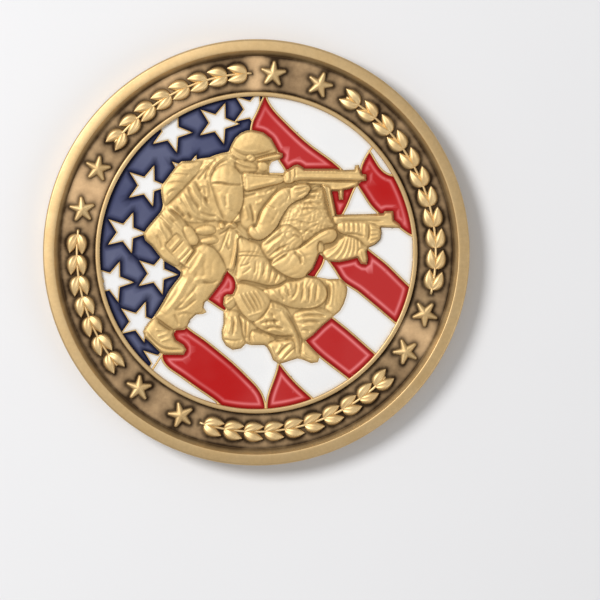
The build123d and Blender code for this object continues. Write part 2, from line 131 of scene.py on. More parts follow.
def nearest(x, y, path):
    """Distance to an open line, and how far along it the nearest point is, from 0 to 1."""
    segments = segments_of(path, closed=False)
    lengths = np.hypot(segments[:, 2] - segments[:, 0], segments[:, 3] - segments[:, 1])
    starts = np.concatenate([[0], np.cumsum(lengths)])
    best = np.full(x.shape, np.inf)
    along = np.zeros(x.shape)
    for (x0, y0, x1, y1), length, start in zip(segments, lengths, starts):
        if length < NO_LENGTH:
            continue
        t = np.clip(((x - x0) * (x1 - x0) + (y - y0) * (y1 - y0)) / length ** 2, 0, 1)
        gap = (x - x0 - t * (x1 - x0)) ** 2 + (y - y0 - t * (y1 - y0)) ** 2
        closer = gap < best
        best = np.where(closer, gap, best)
        along = np.where(closer, (start + t * length) / starts[-1], along)
    return np.sqrt(best), along


def smooth_step(value, low, high):
    """From 0 at the low value to 1 at the high one, level at both."""
    t = np.clip((value - low) / (high - low), 0, 1)
    return t * t * (3 - 2 * t)


def blurred(grid, reach, passes=3):
    """Box blurs; three of them are close to a Gaussian of about that many cells."""
    size = 2 * reach + 1
    for _ in range(passes):
        for axis in (0, 1):
            margin = [(0, 0), (0, 0)]
            margin[axis] = (reach + 1, reach)
            total = np.moveaxis(np.cumsum(np.pad(grid, margin, "edge"), axis=axis), axis, 0)
            grid = np.moveaxis((total[size:] - total[:-size]) / size, 0, axis)
    return grid


# ---- meshes ----
CDT_MERGE = 1e-6


def turned_over(verts):
    """The same shape on the reverse: half a turn about the coin's upright axis."""
    return np.column_stack([-verts[:, 0], verts[:, 1], THICK - verts[:, 2]])


def piece(name, verts, faces, material, nodes, marks=None, smooth=True, reverse=False):
    """One visible piece. marks are numbers from 0 to 1 at its vertices, which the materials read."""
    verts = np.asarray(verts, float)
    if reverse:
        verts = turned_over(verts)
    mesh = bpy.data.meshes.new(name)
    mesh.from_pydata((verts * MM).tolist(), [], faces)
    mesh.validate()
    for mark, values in (marks or {}).items():
        layer = mesh.attributes.new(mark, "FLOAT", "POINT")
        layer.data.foreach_set("value", np.asarray(values, np.float32))
    mesh.polygons.foreach_set("use_smooth", [smooth] * len(mesh.polygons))
    mesh.materials.append(material)
    made = bpy.data.objects.new(name, mesh)
    bpy.context.scene.collection.objects.link(made)
    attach(made, "root")
    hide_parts(*nodes)
    return made


def lathe(profile, steps, first=0, last=360):
    """Vertices and faces of a profile (radius, height) turned about the coin's axis."""
    full = last - first == 360
    count = steps if full else steps + 1
    angles = np.radians(first + (last - first) * np.arange(count) / steps)
    r, z = np.array(profile).T
    verts = np.column_stack([np.outer(np.cos(angles), r).ravel(),
                             np.outer(np.sin(angles), r).ravel(), np.tile(z, count)])
    n = len(profile)
    faces = []
    for k in range(steps):
        a = k * n
        b = ((k + 1) % count) * n
        faces += [(a + i, b + i, b + i + 1, a + i + 1) for i in range(n - 1)]
    return verts, faces


def closed_below(verts, faces, level):
    """A surface made solid: walls from its open edges down to the level, and a flat bottom."""
    faces = list(faces)
    directed = {edge for face in faces for edge in zip(face, face[1:] + face[:1])}
    open_edges = sorted((a, b) for a, b in directed if (b, a) not in directed)
    border = sorted({v for edge in open_edges for v in edge})
    number = {v: k for k, v in enumerate(border)}
    start = len(verts)
    verts = np.vstack([verts, [(*verts[v][:2], level) for v in border]])
    faces += [(b, a, start + number[a], start + number[b]) for a, b in open_edges]
    loops = np.array([(number[a], number[b]) for a, b in open_edges])
    # a Vector rounds its numbers, so the outline is taken from the rounded ones as well
    points = [Vector(verts[v][:2]) for v in border]
    plan = np.array([tuple(point) for point in points])
    out = delaunay_2d_cdt(points, loops.tolist(), [], 0, CDT_MERGE)
    triangles = np.array([tuple(face) for face in out[2]])
    centres = plan[triangles].mean(1)
    outline = np.hstack([plan[loops[:, 0]], plan[loops[:, 1]]])
    _, inside = distance(centres[:, 0], centres[:, 1], outline)
    faces += [tuple(start + i for i in face[::-1]) for face in triangles[inside].tolist()]
    return verts, faces


# ---- outlines of the enamel cells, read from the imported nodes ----
FACES_UPWARD = 0.9
SAME_LEVEL = 1e-6
SURFACE_MERGE = 1e-5
DECIMALS = 4
RING_SPACING = 0.6           # of a ring's distance from the outline
RING_SPACING_LIMITS = (0.05, 0.17)
RING_SLACK = 0.9
GRID_CLEARANCE = 0.4         # of the grid's pitch


def on_obverse(node):
    """Whether the node lies on the upper face."""
    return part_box(node)[1].z / MM > THICK / 2


def face_segments(node, upward):
    """Outline segments, in millimetres, of a node's upper or lower face as that face is seen."""
    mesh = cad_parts[node].data
    side = 1 if upward else -1
    heights = [v.co.z for v in mesh.vertices]
    level = max(heights) if upward else min(heights)
    edges = {}
    for polygon in mesh.polygons:
        if polygon.normal.z * side < FACES_UPWARD or abs(polygon.center.z - level) > SAME_LEVEL:
            continue
        keys = []
        for v in polygon.vertices:
            co = mesh.vertices[v].co
            keys.append((round(co.x / MM * side, DECIMALS), round(co.y / MM, DECIMALS)))
        for a, b in zip(keys, keys[1:] + keys[:1]):
            key = (min(a, b), max(a, b))
            edges[key] = edges.get(key, 0) + 1
    return np.array([(*a, *b) for (a, b), count in edges.items() if count == 1])


def split_long(segments, longest):
    """The same outline with its long segments divided."""
    parts = []
    for x0, y0, x1, y1 in segments:
        n = max(1, ceil(hypot(x1 - x0, y1 - y0) / longest))
        for k in range(n):
            parts.append((x0 + (x1 - x0) * k / n, y0 + (y1 - y0) * k / n,
                          x0 + (x1 - x0) * (k + 1) / n, y0 + (y1 - y0) * (k + 1) / n))
    return np.array(parts)


def offset_points(segments, gap):
    """Points on both sides of the outline, at a distance from it."""
    middle = (segments[:, :2] + segments[:, 2:]) / 2
    along = segments[:, 2:] - segments[:, :2]
    length = np.maximum(np.hypot(along[:, 0], along[:, 1]), NO_LENGTH)
    across = np.column_stack([-along[:, 1], along[:, 0]]) / length[:, None]
    return np.vstack([middle + across * gap, middle - across * gap])


def thinned(points, spacing):
    """At most one point in each square of that size."""
    keys = np.round(points / spacing).astype(int)
    _, first = np.unique(keys, axis=0, return_index=True)
    return points[np.sort(first)]


def surface(segments, rings, pitch):
    """Triangles over an outlined area: rings of points near its walls and a loose grid inside."""
    low = segments[:, :2].min(0)
    high = segments[:, :2].max(0)
    extra = []
    for gap in rings:
        spacing = np.clip(gap * RING_SPACING, *RING_SPACING_LIMITS)
        points = thinned(offset_points(segments, gap), spacing)
        away, inside = distance(points[:, 0], points[:, 1], segments)
        extra.append(points[inside & (away > gap * RING_SLACK)])
    gx, gy = np.meshgrid(np.arange(low[0], high[0], pitch), np.arange(low[1], high[1], pitch))
    grid = np.column_stack([gx.ravel(), gy.ravel()])
    away, inside = distance(grid[:, 0], grid[:, 1], segments)
    extra.append(grid[inside & (away > rings[-1] + pitch * GRID_CLEARANCE)])
    corners = {}
    edges = []
    for x0, y0, x1, y1 in segments:
        a = corners.setdefault((x0, y0), len(corners))
        b = corners.setdefault((x1, y1), len(corners))
        if a != b:
            edges.append((a, b))
    points = [Vector(c) for c in corners] + [Vector(p) for p in np.vstack(extra)]
    out = delaunay_2d_cdt(points, edges, [], 0, SURFACE_MERGE)
    flat = np.array([tuple(v) for v in out[0]])
    triangles = np.array([tuple(f) for f in out[2]])
    centres = flat[triangles].mean(1)
    _, inside = distance(centres[:, 0], centres[:, 1], segments)
    triangles = triangles[inside]
    used = np.unique(triangles)
    number = np.full(len(flat), -1)
    number[used] = np.arange(len(used))
    flat = flat[used]
    triangles = number[triangles]
    corner = flat[triangles]
    area = ((corner[:, 1, 0] - corner[:, 0, 0]) * (corner[:, 2, 1] - corner[:, 0, 1])
            - (corner[:, 2, 0] - corner[:, 0, 0]) * (corner[:, 1, 1] - corner[:, 0, 1]))
    triangles[area < 0] = triangles[area < 0][:, ::-1]
    away, _ = distance(flat[:, 0], flat[:, 1], segments)
    return flat, [tuple(t) for t in triangles.tolist()], away


# ---- materials; noise scales are waves per metre ----
CLOUDS = 420
SPECKS = 2600
ENAMEL_CLOUDS = 110
ENAMEL_BREAKS = 130
ENAMEL_RIPPLE = 900
ENAMEL_ROUGH = 0.22


class Nodes:
    """Short way to lay out a material's nodes."""

    def __init__(self, name):
        self.material = bpy.data.materials.new(name)
        self.material.use_nodes = True
        self.tree = self.material.node_tree
        self.shader = self.tree.nodes["Principled BSDF"]

    def add(self, kind, inputs=None, **settings):
        """A node; each input is a number or colour to set, or a socket to join."""
        node = self.tree.nodes.new(kind)
        for key, value in settings.items():
            setattr(node, key, value)
        for key, value in (inputs or {}).items():
            if isinstance(value, bpy.types.NodeSocket):
                self.tree.links.new(value, node.inputs[key])
            else:
                node.inputs[key].default_value = value
        return node

    def mix(self, share, first, second):
        """Colour between two; the share may be a socket or a number."""
        node = self.add("ShaderNodeMix", {0: share, 6: first, 7: second}, data_type="RGBA")
        return node.outputs[2]

    def noise(self, scale, detail, rough):
        """Cloudy pattern fixed to the piece."""
        place = self.add("ShaderNodeTexCoord").outputs["Object"]
        node = self.add("ShaderNodeTexNoise", {"Vector": place, "Scale": scale, "Detail": detail,
                                               "Roughness": rough})
        return node.outputs["Fac"]

    def span(self, value, low, high, to_low=0.0, to_high=1.0):
        """The value carried from one range to another, and held at its ends."""
        node = self.add("ShaderNodeMapRange", {0: value, 1: low, 2: high, 3: to_low, 4: to_high})
        return node.outputs[0]

    def maths(self, operation, first, second):
        """One arithmetic step."""
        return self.add("ShaderNodeMath", {0: first, 1: second}, operation=operation).outputs[0]

    def mark(self, name):
        """One of the numbers that piece() stores at the vertices."""
        return self.add("ShaderNodeAttribute", attribute_name=name).outputs["Fac"]

    def bump(self, height, strength, reach):
        """Fine unevenness that only the light sees."""
        node = self.add("ShaderNodeBump", {"Height": height, "Strength": strength, "Distance": reach})
        self.tree.links.new(node.outputs["Normal"], self.shader.inputs["Normal"])

    def wire(self, socket, value):
        """Join a value to one of the shader's inputs."""
        self.tree.links.new(value, self.shader.inputs[socket])


def gold_material(name, bright, deep, dark, rough, grain, grain_size):
    """Antique gold plate, mixed towards its dark tone by a mark at the vertices: antique stain in the
    recesses of the bands and ornaments, painted shade in the hollows of the figures, and painted
    highlight spots where the band floor's stain is lowered.
    """
    n = Nodes(name)
    patina_and_painted_light = n.mark("patina_and_painted_light")
    cloud = n.span(n.noise(CLOUDS, 5.0, 0.6), 0.32, 0.68)
    speck = n.span(n.noise(SPECKS, 3.0, 0.7), 0.35, 0.65)
    base = n.mix(cloud, bright, deep)
    # stain mixes the piece towards its dark tone: antique stain on the bands and ornaments, painted
    # shade on the figures
    stain = n.maths("MULTIPLY", patina_and_painted_light, n.span(cloud, 0, 1, 0.82, 1.1))
    tone = n.mix(stain, base, dark)
    n.wire("Base Color", n.mix(n.maths("MULTIPLY", speck, 0.10), tone, dark))
    n.shader.inputs["Metallic"].default_value = 1.0
    n.wire("Roughness", n.maths("ADD", n.span(stain, 0, 1, rough, rough + 0.2),
                                n.maths("MULTIPLY", cloud, 0.06)))
    n.bump(n.noise(1.0 / (grain_size * MM), 4.0, 0.65), grain, 0.02 * MM)
    return n.material


def enamel_material(name, colour, mottled, edge_shade_colour, edge_shade_share, painted_line_colour, painted_line_share):
    """Soft enamel: a glossy fill with painted shade against its walls, and a painted line inside that
    which is a painted highlight in some colours and painted shade in others.
    """
    n = Nodes(name)
    cloud = n.span(n.noise(ENAMEL_CLOUDS, 3.0, 0.5), 0.38, 0.64)
    base = n.mix(cloud, colour, mottled)
    broken = n.span(n.noise(ENAMEL_BREAKS, 2.0, 0.5), 0.35, 0.6, 0.45, 1.0)
    # band mark: the painted line inside the walls; edge mark: painted shade against the walls
    band = n.maths("MULTIPLY", n.maths("MULTIPLY", n.mark("band"), painted_line_share), broken)
    edge = n.maths("MULTIPLY", n.mark("edge"), edge_shade_share)
    n.wire("Base Color", n.mix(edge, n.mix(band, base, painted_line_colour), edge_shade_colour))
    n.wire("Roughness", n.span(cloud, 0, 1, ENAMEL_ROUGH, ENAMEL_ROUGH + 0.08))
    n.wire("Specular IOR Level", n.span(n.mark("edge"), 0, 1, 0.25, 0.05))
    n.wire("Coat Weight", n.span(n.mark("edge"), 0, 1, 0.12, 0.0))
    n.shader.inputs["Coat Roughness"].default_value = 0.1
    n.bump(n.noise(ENAMEL_RIPPLE, 2.0, 0.5), 0.12, 0.03 * MM)
    return n.material


BROWN = (0.11, 0.065, 0.03, 1)
BLACK_BROWN = (0.055, 0.033, 0.018, 1)
WARM_BROWN = (0.20, 0.115, 0.038, 1)
rim_gold = gold_material("rim_gold", (0.70, 0.505, 0.265, 1), (0.63, 0.44, 0.215, 1), BROWN,
                         0.48, 0.22, 0.10)
# on the figures, this gold's dark tone is painted shade in their hollows
relief_gold = gold_material("relief_gold", (0.81, 0.595, 0.290, 1), (0.73, 0.52, 0.24, 1),
                            WARM_BROWN, 0.60, 0.35, 0.08)
band_gold = gold_material("band_gold", (0.92, 0.64, 0.36, 1), (0.72, 0.49, 0.275, 1),
                          BLACK_BROWN, 0.52, 0.30, 0.07)
ornament_gold = gold_material("ornament_gold", (0.90, 0.67, 0.35, 1), (0.80, 0.56, 0.27, 1),
                              BROWN, 0.50, 0.25, 0.08)
# Each enamel: two tones of its body, its painted shade at the walls and that shade's share, its painted
# inner line and that share (a highlight on red, green and black, shade on blue and grey, the body's own
# mottled tone on white)
ENAMEL_TONES = {
    "red": ((0.42, 0.005, 0.005, 1), (0.44, 0.022, 0.022, 1),
            (0.20, 0.006, 0.005, 1), 0.80, (0.78, 0.22, 0.23, 1), 0.85),
    "white": ((0.75, 0.755, 0.77, 1), (0.79, 0.79, 0.80, 1),
              (0.60, 0.53, 0.45, 1), 0.55, (0.79, 0.79, 0.80, 1), 0.5),
    "blue": ((0.105, 0.115, 0.195, 1), (0.060, 0.068, 0.140, 1),
             (0.004, 0.005, 0.024, 1), 0.98, (0.045, 0.052, 0.125, 1), 0.7),
    "green": ((0.085, 0.125, 0.045, 1), (0.075, 0.11, 0.04, 1),
              (0.05, 0.07, 0.025, 1), 0.6, (0.13, 0.17, 0.09, 1), 0.5),
    "black": ((0.012, 0.012, 0.014, 1), (0.016, 0.016, 0.018, 1),
              (0.006, 0.006, 0.006, 1), 0.4, (0.03, 0.03, 0.03, 1), 0.4),
    "grey": ((0.17, 0.19, 0.24, 1), (0.21, 0.23, 0.28, 1),
             (0.05, 0.055, 0.07, 1), 0.7, (0.10, 0.11, 0.14, 1), 0.6),
}
ENAMELS = {colour: enamel_material(f"{colour}_enamel", *tones)
           for colour, tones in ENAMEL_TONES.items()}

# ---- struck blank: rim, edge, ring and the floors under everything else ----
EDGE_ROUND = 0.26
RIM_PEAK = RIM_IN + 0.12
RIM_FALL = 0.085
RIM_SHOULDER = 0.10
RIM_DRAFT = 0.04             # how far out the rim's foot leans from its radius
RING_ROUND = 0.12
RING_LEAN = 0.02
FOOT_FILLET = 0.05
INNERMOST = 8                # radius of the flat middle of both floors
BLANK_STEPS = 720
STAIN_FROM = 0.18            # depths between which the patina sets in, below either rim
STAIN_FULL = 0.58


def arc(centre, radius, first, last, steps):
    """Points of a rounded corner of the profile."""
    points = []
    for k in range(steps + 1):
        x, y = polar(radius, first + (last - first) * k / steps)
        points.append((centre[0] + x, centre[1] + y))
    return points


def rim_crown(steps):
    """The rim's top: highest near its inner side, then falling slightly towards the edge."""
    points = []
    for k in range(steps + 1):
        t = k / steps
        points.append((RIM_PEAK + (COIN_R - EDGE_ROUND - RIM_PEAK) * t, THICK - RIM_FALL * t ** 1.6))
    return points


# Upper half of the rim, from its foot over the top to the middle of the coin's edge
rim_top = (
    [(RIM_FOOT - 2 * RIM_DRAFT, BAND_FLOOR), (RIM_FOOT + RIM_DRAFT, BAND_FLOOR + FOOT_FILLET)]
    + arc((RIM_IN + 0.02, THICK - RIM_SHOULDER), RIM_SHOULDER, 150, 95, 4)
    + rim_crown(10)
    + arc((COIN_R - EDGE_ROUND, THICK - RIM_FALL - EDGE_ROUND), EDGE_ROUND, 78, 0, 8)
)
round_level = RING_TOP - RING_ROUND
ring = (
    [(INNERMOST, CELL_FLOOR), (RING_IN, CELL_FLOOR), (RING_IN, WALL_TOP)]
    + arc((RING_IN + RING_ROUND, round_level), RING_ROUND, 175, 95, 4)
    + arc((RING_OUT - RING_ROUND - RING_LEAN, round_level), RING_ROUND, 85, 5, 4)
    + [(RING_OUT, BAND_FLOOR + FOOT_FILLET), (RING_OUT + 0.04, BAND_FLOOR)]
)
band_line = [(RING_OUT + 0.4, BAND_FLOOR), (RIM_FOOT - 0.3, BAND_FLOOR)]
reverse_low = THICK - CELL_FLOOR
profile = [(INNERMOST, reverse_low), (RIM_FOOT - 0.1, reverse_low)]
profile += [(r, THICK - z) for r, z in rim_top]
profile += (ring + band_line + rim_top)[::-1]

verts, faces = lathe(profile, BLANK_STEPS)
first_ring = np.arange(BLANK_STEPS) * len(profile)
last_ring = first_ring + len(profile) - 1
faces += [tuple(first_ring[::-1].tolist()), tuple(last_ring.tolist())]
radius, height = np.array(profile).T
depth = np.minimum(height, THICK - height)
inside_rim = (radius > RING_OUT - 0.1) & (radius < RIM_IN)
stain = np.where(inside_rim, np.clip((depth - STAIN_FROM) / (STAIN_FULL - STAIN_FROM), 0, 1), 0)
marks = {"patina_and_painted_light": np.tile(stain, BLANK_STEPS)}
piece("struck_blank", verts, faces, rim_gold, ["coin_body"], marks)

# ---- enamel fills ----
MENISCUS_RISE = 0.075
MENISCUS_REACH = 0.20
MIDDLE_SINK = 0.015
# Painted shade at the cell walls and the painted line inside it: how far the shade reaches (wider in
# the canton), where the line lies and how wide it is
EDGE_SHADE_REACH = 0.24
CANTON_SHADE_REACH = 0.40
PAINTED_LINE_PLACE = 0.48
PAINTED_LINE_SPREAD = 0.12
FILL_RINGS = (0.06, 0.14, 0.24, 0.36, 0.48, 0.60, 0.74)
FILL_PITCH = 0.5
OUTLINE_PITCH = 0.25
ABOVE_FLOOR = 0.01


def fill(node):
    """One node's enamel, which climbs the walls of its cell; gives back the cell's outline."""
    upward = on_obverse(node)
    outline = split_long(face_segments(node, upward), OUTLINE_PITCH)
    flat, triangles, away = surface(outline, FILL_RINGS, FILL_PITCH)
    z = ENAMEL_TOP + MENISCUS_RISE * np.exp(-away / MENISCUS_REACH) - MIDDLE_SINK
    verts, faces = closed_below(np.column_stack([flat, z]), triangles, CELL_FLOOR + ABOVE_FLOOR)
    below = np.ones(len(verts) - len(away))
    shade_reach = CANTON_SHADE_REACH if node == "blue_enamel_canton" else EDGE_SHADE_REACH
    # edge: painted shade against the walls, where the meniscus would be shadowed; band: the painted
    # line further in, whose tone each enamel sets
    edge = np.concatenate([np.exp(-(away / shade_reach) ** 3), below])
    band = np.concatenate([np.exp(-((away - PAINTED_LINE_PLACE) / PAINTED_LINE_SPREAD) ** 2), below * 0])
    colour = node.split("_")[0]
    piece(f"fill_{node}", verts, faces, ENAMELS[colour], [node],
          {"edge": edge, "band": band}, reverse=not upward)
    return outline


obverse_outlines = []
reverse_outlines = []
for node in sorted(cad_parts):
    if "enamel" in node:
        (obverse_outlines if on_obverse(node) else reverse_outlines).append(fill(node))

# ---- struck walls between the cells ----
WALL_RINGS = (0.055, 0.11)
WALL_PITCH = 0.9
WALL_ROUND = 0.05
WALL_ROUND_REACH = 0.06
WALL_STAIN = 0.25
WALL_STAIN_REACH = 0.05
ARC_PITCH = 1.5              # degrees between points along an arc
INTO_RING = 0.05             # how far the obverse walls run under the ring


def arc_points(radius, first, last):
    """Points along an arc about the coin's axis."""
    steps = ceil(abs(last - first) / ARC_PITCH)
    return [polar(radius, first + (last - first) * k / steps) for k in range(steps + 1)]


def walls(name, outlines, limit, reverse):
    """The metal that stands between the cells and inside the limit, with rounded tops."""
    cells = np.vstack(outlines)
    border = segments_of(np.array(limit))
    flat, triangles, _ = surface(np.vstack([cells, border]), WALL_RINGS, WALL_PITCH)
    away, _ = distance(flat[:, 0], flat[:, 1], cells)
    z = WALL_TOP - WALL_ROUND * np.exp(-(away / WALL_ROUND_REACH) ** 2)
    verts, faces = closed_below(np.column_stack([flat, z]), triangles, CELL_FLOOR + ABOVE_FLOOR / 2)
    patina_and_painted_light = np.zeros(len(verts))
    patina_and_painted_light[:len(away)] = WALL_STAIN * np.exp(-(away / WALL_STAIN_REACH) ** 2)
    piece(name, verts, faces, relief_gold, ["coin_body"], {"patina_and_painted_light": patina_and_painted_light},
          reverse=reverse)


walls("obverse_walls", obverse_outlines, arc_points(RING_IN + INTO_RING, 0, 360)[:-1], False)
band_first, band_last = REVERSE_BAND
reverse_limit = arc_points(RIM_FOOT, band_last, band_first + 360)
reverse_limit += arc_points(REVERSE_BAND_IN, band_first, band_last)
walls("reverse_walls", reverse_outlines, reverse_limit, True)

# ---- struck figures: one height map, built up form by form from back to front ----
PITCH = 0.052
RELIEF_LOW = (-12.4, -12.0)
RELIEF_HIGH = (15.6, 13.2)
MASS_MARGIN = 0.5
AREA_MARGIN = 0.1
CREASE_DEPTH = 0.045
CREASE_REACH = 0.075
SWELL_SHARE = 0.70
QUARTER_ROUND = 0.35         # share of a form's swell that is a quarter round at its edge
LINE_TAPER = 0.16            # share of a line's length over which each end dies out
TENT_REACH = 1.5
PATTERN_FADE = 0.3
REAR = 1
FRONT = 2


class Relief:
    """Heights above the walls' tops over a square grid, and which figure stands at each point."""

    def __init__(self, low, high):
        self.x = np.arange(low[0], high[0], PITCH)
        self.y = np.arange(low[1], high[1], PITCH)
        self.height = np.zeros((len(self.y), len(self.x)))
        self.owner = np.zeros(self.height.shape, int)
        self.figure = REAR

    def window(self, line, margin):
        """The part of the grid round a line, with its coordinates."""
        low = line.min(0) - margin
        high = line.max(0) + margin
        columns = slice(*np.searchsorted(self.x, (low[0], high[0])))
        rows = slice(*np.searchsorted(self.y, (low[1], high[1])))
        x, y = np.meshgrid(self.x[columns], self.y[rows])
        return (rows, columns), x, y

    def mass(self, points, level, swell, roll, crease=CREASE_DEPTH):
        """A rounded form: it stands at the level on its outline and swells inwards over the roll."""
        line = rounded(points)
        part, x, y = self.window(line, MASS_MARGIN)
        depth = signed(x, y, segments_of(line))
        parabola = 1 - (1 - np.clip(depth / roll, 0, 1)) ** 2
        bulge = (1 - QUARTER_ROUND) * parabola + QUARTER_ROUND * np.sqrt(parabola)
        top = blurred(level + SWELL_SHARE * swell * bulge, 1)
        around = self.height[part] - crease * np.exp(-(depth / CREASE_REACH) ** 2)
        self.height[part] = np.where(depth > 0, top, around)
        self.owner[part] = np.where(depth > 0, self.figure, self.owner[part])

    def line(self, points, width, height):
        """A soft ridge, or a groove where the height is negative, that dies out at both ends."""
        path = rounded(points, closed=False)
        part, x, y = self.window(path, width * 3)
        gap, along = nearest(x, y, path)
        taper = np.sqrt(np.clip(np.minimum(along, 1 - along) / LINE_TAPER, 0, 1))
        soft = np.exp(-(gap / width) ** 2)
        sharp = np.clip(1 - gap / (TENT_REACH * width), 0, 1)
        self.height[part] += height * taper * (soft + sharp) / 2

    def lines(self, paths, width, height):
        """Several lines of one kind."""
        for path in paths:
            self.line(path, width, height)

    def folds(self, first, last, count, width, height):
        """Lines spread evenly from the first to the last."""
        a = np.array(first, float)
        b = np.array(last, float)
        for k in range(count):
            self.line(a + (b - a) * k / (count - 1), width, height)

    def area(self, points, turn):
        """Part of the grid over an outlined area, its turned axes, and its fade towards the outline."""
        line = rounded(points)
        part, x, y = self.window(line, AREA_MARGIN)
        fade = np.clip(signed(x, y, segments_of(line)) / PATTERN_FADE, 0, 1)
        c = cos(radians(turn))
        s = sin(radians(turn))
        return part, x * c + y * s, y * c - x * s, fade

    def creases(self, points, turn, pitch, height):
        """Fine folds of cloth over an outlined area, which run along the turn and break off."""
        part, u, v, fade = self.area(points, turn)
        v = v + 0.28 * np.sin(0.9 * u + 0.8) + 0.16 * np.sin(2.1 * u + 1.3 * v)
        ridges = np.abs(np.sin(pi * v / pitch)) - 2 / pi
        strength = 0.55 + 0.45 * np.sin(1.9 * u + 2.3 * v + 0.4)
        self.height[part] += height * ridges * strength * fade

    def knobs(self, points, size, height, turn):
        """Lumpy cover over an outlined area, two crossing waves bent by slower ones."""
        part, u, v, fade = self.area(points, turn)
        u = u + 0.22 * np.sin(2.3 * v + 0.6) + 0.12 * np.sin(5.1 * v)
        v = v + 0.20 * np.sin(2.9 * u + 1.9)
        wave = np.sin(2 * pi * u / size) * np.sin(2 * pi * v / (size * 0.8))
        self.height[part] += height * wave * fade


def rear_backpack(r):
    """Backpack."""
    backpack = [(-9.9, 6.9), (-9.4, 7.6), (-8.3, 9.1), (-7.8, 9.5), (-7.2, 9.65), (-6.0, 9.7),
                (-5.4, 9.4), (-6.1, 8.2), (-7.3, 7.0), (-8.3, 5.9), (-9.2, 5.0), (-9.7, 4.9),
                (-10.0, 5.9)]
    r.mass(backpack, 0.0, 0.42, 1.1)
    r.creases(backpack, 50, 0.9, 0.04)
    r.lines([[(-9.3, 7.2), (-8.4, 7.4), (-7.5, 7.3)], [(-9.3, 6.0), (-8.9, 6.45), (-8.6, 6.55)],
             [(-9.0, 8.0), (-8.3, 8.2), (-7.0, 8.1)]], 0.13, -0.07)
    r.lines([[(-9.6, 7.3), (-8.9, 8.3), (-8.1, 9.2)], [(-8.0, 8.9), (-7.2, 8.7), (-6.4, 8.9)],
             [(-9.2, 6.6), (-8.2, 6.9), (-7.6, 6.7)]], 0.20, 0.06)


def rear_back(r):
    """Back, with the pack's straps and the shirt's folds."""
    back = [(-5.5, 9.7), (-4.6, 10.0), (-3.4, 10.5), (-2.6, 10.4), (-2.2, 9.8), (-1.2, 9.0),
            (-0.9, 8.0), (-0.6, 5.0), (-0.6, 3.2), (-2.2, 3.0), (-4.0, 3.1), (-6.3, 2.9),
            (-8.6, 3.2), (-9.7, 4.6), (-9.2, 5.0), (-8.2, 5.9), (-6.1, 8.1)]
    r.mass(back, 0.05, 0.24, 1.4)
    r.creases(back, -58, 0.62, 0.055)
    r.lines([[(-7.6, 6.3), (-7.2, 5.2), (-6.6, 4.2), (-6.0, 3.6)],
             [(-8.1, 5.8), (-7.7, 4.9), (-7.2, 4.1)],
             [(-8.9, 5.0), (-8.5, 4.4), (-7.9, 3.9)],
             [(-6.9, 7.1), (-6.3, 5.9), (-5.4, 4.9), (-4.7, 4.4)]], 0.24, 0.11)
    r.lines([[(-7.9, 5.2), (-7.4, 4.4), (-6.7, 3.5)], [(-7.1, 6.9), (-6.7, 5.6), (-5.9, 4.6)],
             [(-6.4, 7.5), (-5.8, 6.3), (-5.0, 5.2)], [(-8.4, 4.8), (-8.0, 4.3), (-7.5, 3.7)],
             [(-5.9, 4.3), (-5.1, 3.9), (-4.2, 3.8)], [(-6.3, 3.6), (-5.2, 3.2), (-4.2, 3.3)]],
            0.15, -0.09)
    r.lines([[(-6.5, 8.0), (-5.9, 8.7), (-5.2, 9.4)], [(-5.6, 8.6), (-5.0, 9.3), (-4.2, 9.9)],
             [(-5.0, 8.0), (-4.7, 8.9), (-3.9, 9.7), (-3.0, 10.2)]], 0.14, 0.09)
    r.lines([[(-6.1, 7.6), (-5.4, 8.4), (-5.1, 9.0)], [(-5.3, 7.6), (-5.2, 8.4), (-4.6, 9.3)],
             [(-4.7, 7.5), (-4.5, 8.6), (-3.8, 9.4), (-2.9, 9.7)]], 0.12, -0.09)
    r.lines([[(-5.9, 7.0), (-5.3, 7.1), (-4.9, 6.9)], [(-5.8, 6.5), (-5.5, 6.0), (-5.0, 5.8)]],
            0.16, 0.08)


def rear_waist(r):
    """Waist: pouches, crossed straps and the belt's hanging end."""
    r.mass([(-8.6, 3.4), (-6.3, 3.0), (-4.0, 3.3), (-2.4, 3.2), (-1.0, 2.6), (-0.6, 1.2),
            (-2.0, 0.2), (-2.3, -1.9), (-3.2, -2.0), (-3.6, -0.6), (-4.4, 0.7), (-6.0, 1.0),
            (-7.2, 2.2)], 0.06, 0.12, 0.8)
    r.mass([(-6.4, 2.0), (-6.3, 2.6), (-5.1, 2.95), (-4.3, 2.75), (-4.2, 2.1), (-5.2, 1.8)],
           0.16, 0.22, 0.5)
    r.mass([(-6.0, 1.35), (-4.3, 1.8), (-3.9, 1.35), (-4.2, 1.0), (-5.6, 0.8)], 0.14, 0.2, 0.4)
    r.mass([(-3.9, 3.1), (-3.5, 3.2), (-3.2, 2.8), (-3.5, 2.45), (-3.9, 2.6)], 0.2, 0.16, 0.3)
    r.mass([(-2.8, 3.0), (-2.3, 3.2), (-1.9, 2.8), (-2.3, 2.5), (-2.7, 2.6)], 0.2, 0.16, 0.3)
    r.lines([[(-4.2, 2.4), (-3.4, 2.6), (-2.6, 3.1), (-1.6, 3.8), (-0.8, 4.1)],
             [(-4.3, 4.2), (-3.6, 3.5), (-2.6, 3.0), (-1.9, 2.3), (-1.2, 1.7)]], 0.16, 0.09)
    r.lines([[(-3.9, 1.9), (-3.3, 2.2), (-2.8, 2.6)], [(-3.0, 3.6), (-2.2, 3.9), (-1.6, 4.2)],
             [(-2.9, 2.4), (-3.3, 1.6), (-3.6, 0.6), (-3.9, 0.1)], [(-3.2, 1.1), (-2.8, 0.3)],
             [(-2.2, 2.4), (-1.4, 1.5), (-0.8, 1.1)], [(-2.1, 3.1), (-1.4, 3.3), (-0.8, 3.6)]],
            0.10, -0.08)
    r.lines([[(-2.9, 2.2), (-3.1, 1.4), (-3.4, 0.6)], [(-2.6, 2.2), (-2.7, 1.3), (-2.9, 0.5)]],
            0.13, 0.06)


